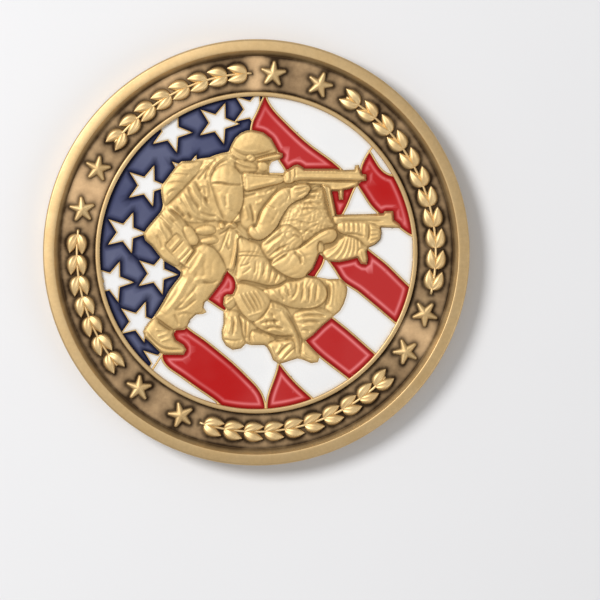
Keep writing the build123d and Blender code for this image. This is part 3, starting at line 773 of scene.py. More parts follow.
def rear_hip(r):
    """Thigh and hip."""
    hip = [(-11.9, 2.0), (-11.4, 2.8), (-10.6, 3.7), (-9.9, 4.5), (-9.0, 4.6), (-8.0, 4.0),
           (-7.0, 2.8), (-6.2, 1.6), (-6.6, 0.4), (-8.1, -1.5), (-9.2, -1.2), (-9.9, -0.6),
           (-10.4, 0.0), (-11.0, 0.8), (-11.7, 1.3)]
    r.mass(hip, 0.05, 0.42, 1.5)
    r.creases(hip, -48, 0.62, 0.045)
    r.lines([[(-10.2, 4.2), (-9.6, 3.4), (-8.8, 2.7)], [(-9.4, 4.6), (-8.9, 4.0), (-8.3, 3.4)],
             [(-10.4, 2.8), (-9.8, 2.2), (-9.4, 1.4), (-9.3, 0.6)],
             [(-8.6, 3.2), (-8.0, 2.6), (-7.4, 1.8)]], 0.2, 0.09)
    r.lines([[(-10.0, 3.7), (-9.4, 2.9), (-8.8, 2.2), (-8.7, 1.5)],
             [(-9.0, 3.8), (-8.3, 3.0), (-7.6, 2.2), (-7.1, 1.4)],
             [(-10.4, 1.9), (-10.0, 1.2), (-9.8, 0.4)]], 0.14, -0.09)
    r.mass([(-7.8, 2.7), (-6.9, 2.9), (-6.3, 2.1), (-5.9, 1.2), (-6.6, 0.6), (-7.4, 1.5)],
           0.18, 0.14, 0.4)


def rear_pouch(r):
    """Pouch strapped to the thigh: a flat box with a flap."""
    r.mass([(-9.5, 0.9), (-9.4, 1.1), (-8.4, 2.05), (-8.2, 2.05), (-6.05, -0.1), (-6.05, -0.4),
            (-7.2, -1.5), (-7.5, -1.5), (-9.5, 0.6)], 0.20, 0.12, 0.25)
    r.lines([[(-8.0, -0.9), (-6.8, 0.4)], [(-8.8, 0.0), (-7.6, 1.3)]], 0.09, -0.09)
    r.lines([[(-8.2, -0.7), (-7.0, 0.6)], [(-9.0, 0.3), (-7.9, 1.5)], [(-7.5, -1.2), (-6.4, 0.0)]],
            0.13, 0.06)


def rear_leg(r):
    """Leg, bent forward, to the boot."""
    leg = [(-8.0, -2.1), (-7.2, -0.8), (-6.4, 0.5), (-5.6, 1.0), (-4.6, 0.7), (-3.8, -0.2),
           (-3.2, -1.4), (-3.1, -2.4), (-3.7, -3.3), (-4.5, -4.3), (-5.3, -5.2), (-5.5, -5.9),
           (-6.1, -6.4), (-6.8, -7.0), (-7.3, -7.8), (-8.4, -8.1), (-9.2, -7.7), (-10.2, -6.9),
           (-10.8, -6.6), (-10.3, -5.8), (-9.6, -4.7), (-8.7, -3.3), (-8.05, -2.45)]
    r.mass(leg, 0.10, 0.38, 1.5)
    r.creases(leg, 62, 0.8, 0.028)
    r.lines([[(-8.3, -3.5), (-9.2, -4.9), (-10.0, -6.1)],
             [(-7.0, -2.0), (-7.6, -3.6), (-8.6, -5.2), (-9.6, -6.3)],
             [(-7.3, -1.6), (-6.6, -0.5), (-6.0, 0.3)], [(-6.9, -2.2), (-6.0, -1.0), (-5.6, 0.0)],
             [(-6.5, -2.9), (-5.4, -2.6), (-4.6, -2.8)], [(-7.7, -2.4), (-7.3, -1.9), (-6.9, -1.2)],
             [(-7.9, -5.2), (-7.1, -4.8), (-6.4, -4.2)]], 0.26, 0.09)
    r.lines([[(-6.2, -3.3), (-7.1, -4.6), (-8.0, -5.5), (-8.6, -5.9)],
             [(-8.5, -5.9), (-7.6, -5.9), (-6.8, -5.2), (-6.2, -4.8)],
             [(-8.6, -6.4), (-8.3, -6.9), (-8.1, -7.6)], [(-6.7, -6.5), (-7.5, -6.2), (-8.2, -6.5)],
             [(-7.5, -1.1), (-6.7, -0.3), (-6.2, 0.4)], [(-7.9, -1.7), (-7.4, -1.5), (-6.9, -1.8)],
             [(-4.0, -2.9), (-4.8, -3.2), (-5.7, -3.0)]], 0.16, -0.09)


def rear_boot(r):
    """Boot."""
    r.mass([(-11.95, -8.2), (-11.4, -7.3), (-10.7, -6.75), (-10.2, -7.0), (-9.2, -7.8),
            (-8.6, -8.1), (-8.5, -8.8), (-8.3, -9.2), (-7.6, -9.6), (-7.2, -10.1), (-7.6, -10.75),
            (-9.5, -10.75), (-10.2, -10.4), (-11.1, -9.5), (-11.7, -8.9)], 0.08, 0.34, 0.9)
    r.line([(-11.6, -8.2), (-11.0, -9.0), (-10.2, -9.8), (-9.2, -10.1), (-7.6, -10.1)], 0.12, -0.12)
    r.line([(-11.4, -7.9), (-10.8, -8.8), (-10.0, -9.5), (-9.0, -9.8), (-8.0, -9.8)], 0.13, 0.07)
    r.line([(-10.3, -7.1), (-9.5, -7.7), (-8.8, -8.1)], 0.13, -0.12)
    r.lines([[(-10.5, -8.0), (-9.9, -8.0), (-9.5, -7.9)], [(-10.3, -8.7), (-9.6, -8.5), (-9.1, -8.3)],
             [(-10.0, -9.2), (-9.3, -9.0), (-8.8, -8.8)]], 0.12, 0.08)


def rear_neck(r):
    """Neck, jaw and the shoulder beside the stock."""
    r.mass([(-2.0, 9.9), (-0.8, 9.7), (0.0, 9.2), (0.2, 8.5), (-0.8, 8.2), (-1.6, 8.2), (-2.4, 9.1)],
           0.06, 0.12, 0.5)
    r.mass([(0.2, 9.5), (0.9, 9.5), (1.25, 9.2), (1.2, 8.85), (1.0, 8.55), (0.4, 8.5), (0.1, 8.9)],
           0.12, 0.12, 0.4, 0.03)
    r.line([(-2.6, 9.6), (-1.6, 9.0), (-0.6, 8.8), (0.3, 8.8)], 0.12, -0.06)
    r.line([(-2.7, 9.9), (-1.9, 9.4), (-1.2, 9.1), (-0.6, 9.1)], 0.15, 0.08)


def rear_chest(r):
    """Chest under the arm and the stock."""
    r.mass([(-1.5, 6.7), (0.6, 7.0), (1.9, 7.1), (2.4, 6.8), (1.4, 5.4), (0.6, 4.5), (0.1, 3.6),
            (-0.2, 2.4), (-0.9, 2.2), (-1.8, 3.2), (-1.6, 5.0)], 0.05, 0.14, 0.7)
    r.lines([[(-0.7, 5.1), (-0.4, 4.2), (-0.3, 3.2)], [(0.9, 6.2), (1.5, 6.6), (2.0, 6.9)],
             [(-1.6, 5.9), (-0.9, 5.9), (0.0, 6.2)]], 0.14, -0.09)
    r.lines([[(0.0, 6.0), (0.8, 6.0), (1.6, 6.5)], [(-0.1, 5.2), (0.3, 5.2), (0.7, 5.5)],
             [(-1.3, 4.9), (-1.0, 4.2), (-0.9, 3.4)], [(0.0, 4.4), (-0.1, 3.6), (0.0, 2.8)]],
            0.17, 0.08)


def rear_sleeve(r):
    """Upper arm and sleeve."""
    upper_arm = [(-4.85, 7.3), (-4.6, 8.2), (-4.1, 8.8), (-3.4, 9.2), (-2.6, 9.1), (-2.0, 8.7),
                 (-1.5, 8.0), (-1.3, 6.6), (-1.4, 5.0), (-1.9, 4.0), (-2.6, 3.1), (-3.2, 3.2),
                 (-3.9, 4.6), (-4.3, 5.8), (-4.5, 6.6)]
    r.mass(upper_arm, 0.16, 0.34, 1.4)
    r.creases(upper_arm, 78, 0.8, 0.022)
    r.line([(-4.7, 7.2), (-3.8, 7.3), (-2.8, 7.1), (-1.5, 7.1)], 0.11, -0.12)
    r.line([(-4.5, 7.45), (-3.8, 7.55), (-2.9, 7.4)], 0.12, 0.06)
    r.lines([[(-3.9, 6.3), (-3.7, 5.4), (-3.4, 4.4), (-2.9, 3.6)],
             [(-2.9, 6.2), (-2.9, 5.3), (-2.8, 4.6)]], 0.22, 0.06)
    r.lines([[(-3.3, 5.9), (-3.2, 5.3), (-3.2, 4.8)], [(-2.7, 4.5), (-2.2, 4.2), (-1.7, 4.2)]],
            0.12, -0.05)
    r.lines([[(-1.6, 8.3), (-1.5, 7.7), (-1.4, 6.8)]], 0.12, 0.07)


def rear_magazine(r):
    """Magazine and pistol grip go under the receiver."""
    r.mass([(6.7, 7.4), (7.75, 7.4), (8.05, 5.6), (8.45, 3.6), (7.5, 3.2), (7.1, 5.3)],
           0.30, 0.16, 0.35)
    r.line([(7.0, 7.0), (7.3, 5.4), (7.7, 3.7)], 0.11, 0.06)
    r.line([(7.35, 7.0), (7.65, 5.4), (8.0, 3.8)], 0.07, -0.07)


def rear_rifle(r):
    """Handguard, rail and muzzle of the rifle."""
    r.mass([(4.0, 7.6), (10.9, 7.6), (10.55, 6.95), (9.6, 6.55), (8.5, 6.35), (7.8, 6.35),
            (7.6, 7.0), (5.6, 7.2), (4.2, 7.2)], 0.16, 0.16, 0.35)
    r.line([(7.9, 6.6), (9.0, 6.7), (9.9, 6.95), (10.6, 7.3)], 0.12, 0.09)
    r.mass([(8.55, 6.5), (9.1, 6.55), (9.1, 5.5), (8.6, 5.45)], 0.1, 0.2, 0.2)
    r.mass([(2.8, 7.2), (2.85, 8.4), (3.0, 8.65), (3.5, 8.8), (3.9, 9.15), (4.3, 9.25),
            (4.7, 9.05), (5.0, 8.8), (8.2, 8.8), (8.9, 8.65), (10.2, 8.65), (10.3, 9.15),
            (10.7, 9.2), (10.8, 8.65), (11.1, 8.25), (11.5, 8.2), (11.5, 7.45), (10.9, 7.45),
            (4.1, 7.6), (3.6, 7.2)], 0.26, 0.2, 0.4)
    r.lines([[(3.3, 7.4), (3.35, 8.0), (3.3, 8.6)], [(3.85, 7.8), (3.9, 8.3), (3.85, 8.9)]],
            0.10, 0.07)
    r.lines([[(3.6, 7.4), (3.62, 8.0), (3.6, 8.6)], [(4.05, 7.9), (4.05, 8.8)]], 0.07, -0.09)
    r.line([(4.1, 7.95), (7.5, 7.85), (10.9, 7.75)], 0.14, 0.06)
    r.line([(4.2, 8.25), (7.5, 8.25), (10.8, 8.15)], 0.08, -0.05)
    r.line([(4.2, 7.55), (7.5, 7.5), (10.8, 7.45)], 0.11, -0.12)
    r.folds([(5.0, 8.45), (5.0, 8.7)], [(10.0, 8.35), (10.0, 8.6)], 14, 0.06, -0.04)


def rear_stock(r):
    """Stock against the shoulder."""
    r.mass([(-1.45, 8.2), (-1.3, 6.5), (-0.9, 6.4), (1.0, 6.85), (2.6, 7.25), (3.0, 7.6),
            (2.95, 8.05), (0.6, 8.15), (-1.2, 8.4)], 0.22, 0.18, 0.35)
    r.line([(-1.0, 8.1), (0.9, 8.0), (2.8, 7.95)], 0.09, -0.11)
    r.line([(-0.9, 6.35), (0.7, 6.75), (1.8, 7.05)], 0.10, -0.09)
    r.line([(-1.15, 7.9), (-1.1, 7.2), (-1.05, 6.7)], 0.1, -0.06)
    r.line([(-0.6, 6.9), (0.6, 7.15), (2.2, 7.5)], 0.13, 0.06)


def rear_forearm(r):
    """Forearm that reaches under the rifle, and its hand."""
    forearm = [(-0.95, 2.3), (-0.6, 1.6), (0.2, 1.25), (1.1, 1.6), (2.1, 2.6), (2.7, 3.7),
               (3.3, 4.8), (4.0, 5.2), (4.7, 5.4), (5.1, 5.9), (4.6, 6.5), (3.6, 6.9), (2.8, 6.8),
               (2.0, 6.3), (1.4, 5.5), (0.9, 4.9), (0.5, 4.3), (0.2, 3.3), (-0.1, 2.6),
               (-0.5, 2.9)]
    r.mass(forearm, 0.22, 0.28, 0.85)
    r.creases(forearm, -38, 0.55, 0.035)
    r.lines([[(0.9, 4.2), (1.7, 5.4), (2.4, 6.1), (3.2, 6.5)], [(0.4, 3.0), (0.8, 3.8), (1.1, 4.3)]],
            0.25, 0.06)
    r.lines([[(1.0, 4.95), (1.5, 4.8), (2.0, 4.6)], [(3.1, 5.5), (3.4, 6.1), (3.5, 6.7)]],
            0.1, -0.08)
    r.lines([[(2.4, 4.8), (2.8, 5.3), (3.4, 5.5)], [(1.4, 3.0), (1.9, 3.7), (2.3, 4.5)]], 0.17, -0.05)
    r.mass([(3.4, 5.5), (3.6, 6.9), (4.4, 7.25), (5.4, 7.2), (5.7, 6.7), (5.2, 5.9), (4.3, 5.3)],
           0.28, 0.18, 0.4)
    r.lines([[(3.9, 6.9), (4.5, 6.9), (5.4, 7.1)], [(4.0, 6.3), (4.6, 6.4), (5.3, 6.7)]], 0.13, 0.07)
    r.lines([[(3.9, 6.6), (4.6, 6.65), (5.4, 6.9)], [(4.2, 5.9), (4.7, 6.1), (5.2, 6.4)]], 0.08, -0.08)


def rear_belt_end(r):
    """Belt's hanging end."""
    r.line([(-1.85, 2.0), (-2.05, 0.9), (-2.3, -0.5), (-2.6, -1.8)], 0.17, 0.24)
    r.line([(-1.5, 1.6), (-1.65, 0.6), (-1.85, -0.6)], 0.10, -0.08)


def rear_helmet(r):
    """Helmet: shell, ear cover, goggles across the brow."""
    r.mass([(-2.85, 10.6), (-2.6, 11.4), (-2.1, 12.1), (-1.4, 12.65), (-0.4, 12.9), (0.5, 12.7),
            (1.3, 12.1), (1.9, 11.3), (2.2, 10.5), (1.2, 10.2), (0.3, 10.0), (-0.6, 9.7),
            (-1.3, 9.6), (-2.2, 9.9)], 0.10, 0.42, 2.2)
    r.line([(-2.8, 10.4), (-2.0, 9.9), (-1.2, 9.5)], 0.12, 0.06)
    r.line([(-2.7, 11.0), (-1.9, 10.4), (-1.0, 10.1), (0.2, 10.2), (1.9, 10.75)], 0.10, -0.08)
    r.line([(-2.6, 11.3), (-1.8, 10.75), (-0.9, 10.5), (0.4, 10.6)], 0.12, 0.05)
    r.mass([(-1.0, 10.15), (-0.5, 10.25), (-0.1, 10.0), (-0.2, 9.6), (-0.6, 9.45), (-1.0, 9.7)],
           0.22, 0.08, 0.3, 0.03)
    r.line([(-0.8, 9.75), (-0.4, 9.95)], 0.09, -0.05)
    r.mass([(0.0, 9.75), (1.1, 10.1), (2.4, 10.4), (2.8, 10.3), (2.75, 9.95), (2.3, 9.8),
            (1.2, 9.65), (0.2, 9.45)], 0.30, 0.14, 0.25)
    r.line([(0.3, 9.7), (1.3, 9.9), (2.6, 10.15)], 0.08, 0.05)


def rear_soldier(r):
    """Standing behind, bent forward over a rifle that points right."""
    r.figure = REAR
    for part in (
        rear_backpack, rear_back, rear_waist, rear_hip, rear_pouch, rear_leg, rear_boot, rear_neck,
        rear_chest, rear_sleeve, rear_magazine, rear_rifle, rear_stock, rear_forearm,
        rear_belt_end, rear_helmet,
    ):
        part(r)


def front_calf(r):
    """Rear calf and foot."""
    calf = [(7.2, -2.8), (8.0, -2.6), (8.8, -2.7), (9.45, -3.3), (9.55, -4.3), (9.1, -5.5),
            (8.5, -6.4), (7.6, -6.8), (7.0, -6.0), (7.5, -4.6), (7.4, -3.6)]
    r.mass(calf, 0.05, 0.32, 0.9)
    r.creases(calf, 85, 0.5, 0.045)
    r.line([(7.9, -3.1), (7.9, -4.3), (7.7, -5.6)], 0.16, 0.10)
    r.line([(7.5, -3.3), (7.55, -4.4), (7.3, -5.5)], 0.12, -0.10)
    r.mass([(4.7, -9.3), (5.3, -9.5), (5.9, -10.1), (6.7, -10.9), (6.4, -11.6), (5.7, -11.6),
            (4.9, -11.25), (4.4, -10.6)], 0.04, 0.22, 0.5)
    r.lines([[(4.9, -10.4), (5.2, -10.8), (5.9, -11.0)], [(5.2, -11.2), (5.8, -11.25)]], 0.12, 0.07)


def front_shin(r):
    """Shin that runs back under the thigh."""
    shin = [(3.8, -6.3), (5.0, -5.9), (6.6, -5.7), (7.8, -6.2), (7.9, -6.9), (6.8, -7.8),
            (5.8, -8.7), (5.1, -9.3), (4.4, -8.6), (3.9, -7.3)]
    r.mass(shin, 0.05, 0.26, 0.9)
    r.creases(shin, -5, 0.5, 0.05)
    r.lines([[(4.4, -6.4), (5.6, -6.1), (7.2, -6.4)], [(4.4, -6.9), (5.8, -6.8), (7.0, -6.9)],
             [(4.8, -7.7), (5.6, -7.5), (6.2, -7.6)]], 0.17, 0.09)
    r.lines([[(4.8, -6.6), (5.8, -6.45), (7.2, -6.65)], [(4.8, -7.2), (5.8, -7.1), (6.6, -7.3)],
             [(4.6, -8.1), (5.2, -8.1), (5.6, -8.3)]], 0.12, -0.08)


def front_boots(r):
    """Boots below."""
    boot = [(-3.55, -6.2), (-2.5, -5.95), (-1.7, -6.2), (-1.35, -7.4), (-1.3, -8.6), (-1.1, -9.3),
            (-1.6, -10.05), (-2.5, -10.25), (-3.3, -9.8), (-3.7, -9.0), (-3.75, -8.2),
            (-3.55, -7.4)]
    r.mass(boot, 0.05, 0.36, 0.9)
    r.creases(boot, 84, 0.5, 0.04)
    r.line([(-3.5, -9.0), (-2.6, -9.2), (-1.5, -9.1)], 0.12, -0.09)
    r.lines([[(-2.7, -6.6), (-2.7, -7.6), (-2.9, -8.4)], [(-2.1, -6.6), (-2.0, -7.6), (-2.1, -8.4)]],
            0.17, 0.09)
    r.lines([[(-2.4, -6.6), (-2.35, -7.6), (-2.5, -8.6)], [(-3.2, -6.8), (-3.2, -7.8), (-3.3, -8.6)]],
            0.11, -0.07)
    r.mass([(-2.0, -6.3), (-1.0, -6.8), (-0.2, -7.3), (0.3, -8.0), (-0.4, -8.5), (-0.7, -9.0),
            (-0.7, -9.6), (-1.1, -9.4), (-1.4, -8.6), (-1.6, -7.3)], 0.06, 0.24, 0.6)
    r.lines([[(-1.3, -6.9), (-1.4, -7.8), (-1.2, -8.8)], [(-0.8, -7.2), (-0.9, -8.0), (-0.9, -8.8)]],
            0.14, 0.09)
    r.line([(-1.05, -7.1), (-1.15, -8.0), (-1.05, -9.0)], 0.09, -0.09)
    r.mass([(-0.8, -8.4), (-0.3, -7.9), (1.0, -8.3), (2.1, -8.9), (1.7, -9.7), (0.8, -9.75),
            (-0.6, -9.75)], 0.10, 0.3, 0.7)
    r.lines([[(-0.4, -8.5), (-0.4, -9.0), (-0.2, -9.5)], [(0.6, -8.4), (1.1, -8.7), (1.5, -8.9)]],
            0.16, 0.07)
    r.line([(-0.3, -8.1), (0.5, -8.3), (1.3, -8.8)], 0.11, -0.08)
    r.mass([(1.0, -9.4), (2.2, -9.0), (3.4, -8.8), (4.2, -8.95), (4.4, -10.0), (4.2, -11.1),
            (3.4, -11.35), (2.6, -11.65), (1.7, -11.3), (1.4, -10.6)], 0.10, 0.30, 0.8)
    r.lines([[(2.4, -11.3), (2.9, -10.5), (3.8, -9.6)], [(2.9, -9.6), (3.4, -9.3), (4.0, -9.2)],
             [(2.1, -10.5), (2.4, -10.0), (2.6, -9.5)], [(1.5, -9.7), (1.7, -10.4), (2.0, -11.0)]],
            0.15, 0.10)
    r.lines([[(2.7, -11.2), (3.3, -10.5), (4.1, -9.8)], [(2.2, -10.8), (2.6, -10.1), (3.4, -9.5)],
             [(2.0, -9.2), (2.7, -9.15), (3.5, -8.95)]], 0.10, -0.11)


def front_knee(r):
    """Cloth and knee in the middle."""
    knee = [(0.2, -5.1), (1.4, -4.9), (2.6, -5.3), (3.3, -6.0), (3.9, -7.2), (4.5, -8.4),
            (4.75, -9.4), (4.6, -10.7), (4.25, -11.1), (4.0, -10.0), (3.9, -9.0), (2.0, -8.6),
            (0.6, -8.2), (-0.4, -7.4), (-0.2, -6.2)]
    r.mass(knee, 0.14, 0.26, 1.1)
    r.creases(knee, -62, 0.6, 0.05)
    r.line([(3.1, -6.1), (3.9, -7.4), (4.5, -8.8), (4.6, -10.2), (4.2, -11.0)], 0.14, -0.12)
    r.line([(2.6, -6.0), (3.4, -7.3), (4.0, -8.6), (4.3, -9.8)], 0.2, 0.08)
    r.line([(2.0, -8.75), (3.0, -8.75), (3.9, -8.7)], 0.14, -0.12)
    r.lines([[(0.3, -7.1), (1.2, -6.75), (2.2, -6.8)], [(0.6, -7.7), (1.5, -7.4), (2.7, -7.6)],
             [(1.2, -8.2), (2.0, -8.0), (3.0, -8.3)], [(1.4, -5.6), (2.0, -5.8), (2.6, -5.9)]],
            0.19, 0.08)
    r.lines([[(0.4, -7.4), (1.3, -7.05), (2.4, -7.15)], [(0.8, -8.0), (1.7, -7.7), (2.8, -7.9)],
             [(1.6, -6.2), (1.8, -7.0), (2.2, -7.8)]], 0.11, -0.08)


def front_thigh(r):
    """Thigh."""
    thigh = [(0.5, -4.0), (1.6, -3.6), (3.0, -3.0), (4.4, -2.85), (5.2, -2.4), (6.1, -2.5),
             (7.0, -3.2), (7.45, -4.2), (7.2, -5.0), (6.4, -5.7), (5.0, -5.9), (3.4, -5.7),
             (2.0, -5.1), (0.8, -4.9)]
    r.mass(thigh, 0.14, 0.34, 1.2)
    r.creases(thigh, 78, 0.55, 0.04)
    r.lines([[(3.0, -3.4), (2.8, -4.0), (3.2, -4.5)], [(3.4, -3.1), (3.5, -3.7), (3.6, -4.1)],
             [(4.5, -3.1), (4.5, -4.0), (4.1, -4.8), (3.5, -5.1)],
             [(5.0, -3.3), (5.2, -4.2), (5.1, -5.2)], [(6.0, -3.0), (5.8, -4.0), (5.7, -5.2)],
             [(1.8, -3.9), (1.9, -4.3), (2.3, -4.8)], [(6.7, -3.5), (6.6, -4.4), (6.4, -5.1)]],
            0.17, 0.075)
    r.lines([[(3.3, -3.8), (3.3, -4.3), (3.6, -4.5)], [(4.2, -3.2), (4.2, -4.0), (3.7, -4.7)],
             [(4.9, -3.0), (4.8, -4.0), (4.6, -5.2)], [(5.5, -3.5), (5.5, -4.3), (5.4, -5.3)],
             [(6.3, -3.2), (6.2, -4.2), (6.0, -5.3)], [(2.4, -3.8), (2.5, -4.4), (2.9, -5.0)]],
            0.11, -0.075)
    r.line([(7.0, -3.4), (7.35, -4.2), (7.0, -5.1), (6.1, -5.7), (4.8, -5.85)], 0.10, 0.07)


def front_resting_hand(r):
    """Hand beside the bag."""
    r.mass([(-3.6, -5.3), (-3.4, -4.5), (-2.6, -4.2), (-2.0, -4.4), (-2.0, -5.3), (-2.6, -5.9),
            (-3.3, -5.9)], 0.05, 0.2, 0.4)
    r.lines([[(-3.2, -5.4), (-2.8, -5.0), (-2.3, -4.7)], [(-3.1, -4.8), (-2.7, -4.5)]], 0.11, 0.07)


def front_vest(r):
    """Vest and its hem."""
    vest = [(-2.0, 1.8), (-0.9, 1.3), (0.2, 1.0), (0.9, 0.1), (1.4, -0.9), (2.2, -1.9),
            (3.1, -2.4), (3.2, -2.9), (2.4, -3.4), (1.4, -3.5), (0.0, -3.1), (-1.3, -2.9),
            (-2.2, -3.1), (-2.0, -1.8), (-2.0, 0)]
    r.mass(vest, 0.08, 0.28, 1.0)
    r.creases(vest, 84, 0.55, 0.045)
    r.line([(-2.0, -2.9), (-1.0, -3.0), (0.2, -3.35), (1.4, -3.65), (2.4, -3.5), (3.1, -2.9)],
           0.13, -0.12)
    r.lines([[(1.3, -1.2), (1.2, -2.0), (1.0, -3.1)], [(1.9, -2.0), (1.7, -2.6), (1.5, -3.2)],
             [(2.5, -2.3), (2.3, -2.8), (2.0, -3.3)], [(0.5, -1.0), (0.4, -2.0), (0.2, -3.0)]],
            0.16, 0.08)
    r.lines([[(-1.9, -0.35), (-1.0, -0.3), (0.4, -0.4), (1.0, -0.5)],
             [(-1.9, 0.0), (-0.9, 0.1), (0.6, 0.0)]], 0.08, -0.07)
    r.line([(-1.9, -0.18), (-0.9, -0.1), (0.5, -0.2)], 0.14, 0.05)
    r.lines([[(1.6, -1.6), (1.45, -2.3), (1.25, -3.2)], [(2.2, -2.2), (2.0, -2.7), (1.8, -3.3)],
             [(-1.7, -1.4), (-1.1, -1.3), (-0.7, -1.0)], [(-1.5, -2.2), (-1.0, -1.9), (-0.6, -1.5)],
             [(0.8, -0.9), (0.8, -1.6), (0.6, -2.4)], [(-0.1, -0.8), (-0.1, -1.5), (-0.2, -2.2)]],
            0.10, -0.07)


def front_bag(r):
    """Bag with its ribs."""
    r.mass([(-2.3, -3.3), (-1.4, -3.15), (-0.2, -3.5), (1.0, -4.1), (1.6, -5.0), (1.2, -6.0),
            (0.4, -7.0), (-0.5, -7.3), (-1.4, -6.5), (-2.1, -5.4), (-2.4, -4.4)], 0.16, 0.20, 0.6,
           0.035)
    r.folds([(-1.8, -4.3), (-1.3, -5.4), (-0.6, -6.4)], [(-0.1, -3.9), (0.5, -4.7), (0.9, -5.6)],
            5, 0.15, 0.065)
    r.folds([(-1.6, -4.2), (-1.1, -5.2), (-0.4, -6.2)], [(-0.3, -3.95), (0.2, -4.8), (0.6, -5.8)],
            4, 0.09, -0.06)
    r.line([(-0.9, -6.6), (-0.1, -6.3), (0.8, -6.1)], 0.12, 0.06)


def front_helmet(r):
    """Net-covered helmet and neck."""
    helmet = [(2.2, 2.7), (2.7, 3.8), (3.4, 4.9), (4.2, 5.4), (5.0, 5.7), (6.0, 6.4), (7.0, 7.0),
              (7.3, 5.6), (7.6, 4.2), (8.1, 3.1), (8.4, 2.7), (7.0, 2.2), (5.6, 1.2), (4.4, 0.6),
              (3.4, 1.0), (2.6, 1.9)]
    r.mass(helmet, 0.06, 0.34, 1.7)
    r.knobs(helmet, 0.95, 0.026, 38)
    r.knobs(helmet, 0.55, 0.015, -15)
    r.folds([(4.6, 4.5), (5.4, 4.6), (6.8, 4.5)], [(5.2, 6.3), (5.9, 6.4), (6.7, 6.5)], 4, 0.10, -0.07)
    r.folds([(4.7, 4.75), (5.5, 4.85), (6.8, 4.8)], [(5.3, 6.1), (5.9, 6.2), (6.7, 6.2)], 3, 0.13, 0.06)
    r.lines([[(3.0, 3.2), (4.0, 3.4), (5.4, 3.0), (6.6, 3.4)], [(3.4, 2.2), (4.6, 2.4), (6.0, 2.2)],
             [(4.6, 1.8), (5.6, 2.6), (6.4, 3.0)]], 0.12, -0.07)


def front_shoulder(r):
    """Shoulder strap and cuff."""
    shoulder = [(0.4, 0.9), (1.2, 1.6), (2.4, 2.7), (3.4, 3.0), (4.6, 2.2), (5.0, 1.2),
                (4.2, 0.2), (2.8, -0.4), (1.6, -1.0), (0.8, -0.2)]
    r.mass(shoulder, 0.14, 0.26, 0.9)
    r.creases(shoulder, 42, 0.5, 0.045)
    r.lines([[(1.0, 0.1), (1.8, 0.9), (2.8, 1.6)], [(1.0, 1.2), (1.8, 1.9), (2.5, 2.4)],
             [(1.6, -0.6), (2.4, 0.1), (3.4, 0.5)]], 0.19, 0.10)
    r.lines([[(0.8, 0.7), (1.7, 1.4), (2.8, 2.1)], [(1.3, -0.4), (2.2, 0.4), (3.4, 0.9)],
             [(3.4, 1.6), (4.0, 1.9), (4.6, 1.6)]], 0.11, -0.10)
    r.mass([(2.9, 2.0), (3.5, 2.3), (3.9, 1.9), (3.6, 1.4), (3.1, 1.5)], 0.24, 0.12, 0.3)


def front_elbow(r):
    """Elbow and forearm."""
    elbow = [(1.3, -1.1), (2.4, -0.2), (3.6, 0.3), (4.2, 0.3), (5.2, 1.0), (6.4, 2.0), (7.4, 2.5),
             (8.2, 2.5), (8.5, 1.8), (7.9, 1.0), (6.9, 0.9), (6.6, 0.1), (6.3, -0.9), (5.9, -1.8),
             (5.2, -2.45), (4.3, -2.8), (3.2, -2.5), (2.2, -1.9)]
    r.mass(elbow, 0.24, 0.26, 1.1)
    r.creases(elbow, 28, 0.75, 0.045)
    r.line([(3.9, 0.15), (4.5, -0.4), (4.7, -1.2)], 0.13, -0.10)
    r.line([(4.3, 0.2), (4.9, -0.3), (5.0, -1.2)], 0.17, 0.08)
    r.lines([[(1.6, -1.3), (2.4, -0.6), (3.3, -0.1)]], 0.10, -0.10)
    r.lines([[(1.7, -0.95), (2.4, -0.35), (3.3, 0.15)], [(5.0, 0.6), (6.2, 1.5), (7.6, 2.2)]],
            0.15, 0.08)
    r.line([(6.5, 1.0), (7.1, 0.9), (7.9, 1.05)], 0.14, -0.10)
    r.mass([(6.4, 1.2), (6.9, 1.2), (7.1, 0.3), (6.7, -0.1), (6.3, 0.2)], 0.12, 0.14, 0.3)


def front_pleats(r):
    """Pleated cloth below the forestock."""
    r.mass([(7.1, 0.3), (8.3, 0.7), (9.0, 1.8), (10.2, 1.8), (11.4, 1.0), (11.8, 0.3),
            (11.6, -0.3), (10.5, -0.6), (9.6, -0.9), (8.6, -1.1), (7.8, -1.0), (7.0, -0.75),
            (6.85, -0.1)], 0.12, 0.22, 0.5)
    pleat_feet = [(7.1, 0.2), (7.3, -0.6), (8.2, -0.8), (9.0, -0.8), (9.7, -0.6), (10.3, -0.4),
                  (10.9, -0.2)]
    first_top = 8.9
    top_pitch = 0.3
    for k, (x, y) in enumerate(pleat_feet):
        top = first_top + top_pitch * k
        bend = (0.45 * x + 0.55 * top + 0.1, 0.45 * y + 0.52)
        r.line([(x, y), bend, (top, 1.6)], 0.13, 0.085)


def front_grip(r):
    """Grip in front of the cloth."""
    r.mass([(10.4, 0.3), (11.4, 0.6), (11.75, -0.6), (11.6, -1.35), (10.8, -1.25)],
           0.24, 0.16, 0.35)
    r.line([(10.75, 0.2), (10.95, -0.5), (11.1, -1.1)], 0.10, 0.06)


def front_rifle(r):
    """Second rifle."""
    r.mass([(8.0, 4.05), (12.2, 4.1), (13.2, 4.15), (13.4, 4.4), (14.3, 4.4), (14.4, 3.4),
            (15.0, 3.0), (15.2, 2.5), (12.6, 2.5), (8.6, 2.8), (8.0, 3.1)], 0.22, 0.2, 0.35)
    r.line([(8.4, 3.35), (10.8, 3.35), (13.2, 3.3)], 0.10, -0.10)
    r.line([(8.4, 3.75), (10.8, 3.75), (13.8, 3.8)], 0.16, 0.05)
    r.line([(11.9, 2.8), (13.4, 2.85), (14.8, 2.75)], 0.12, 0.05)
    r.folds([(8.9, 3.95), (8.9, 4.1)], [(12.1, 3.98), (12.1, 4.13)], 10, 0.06, -0.03)


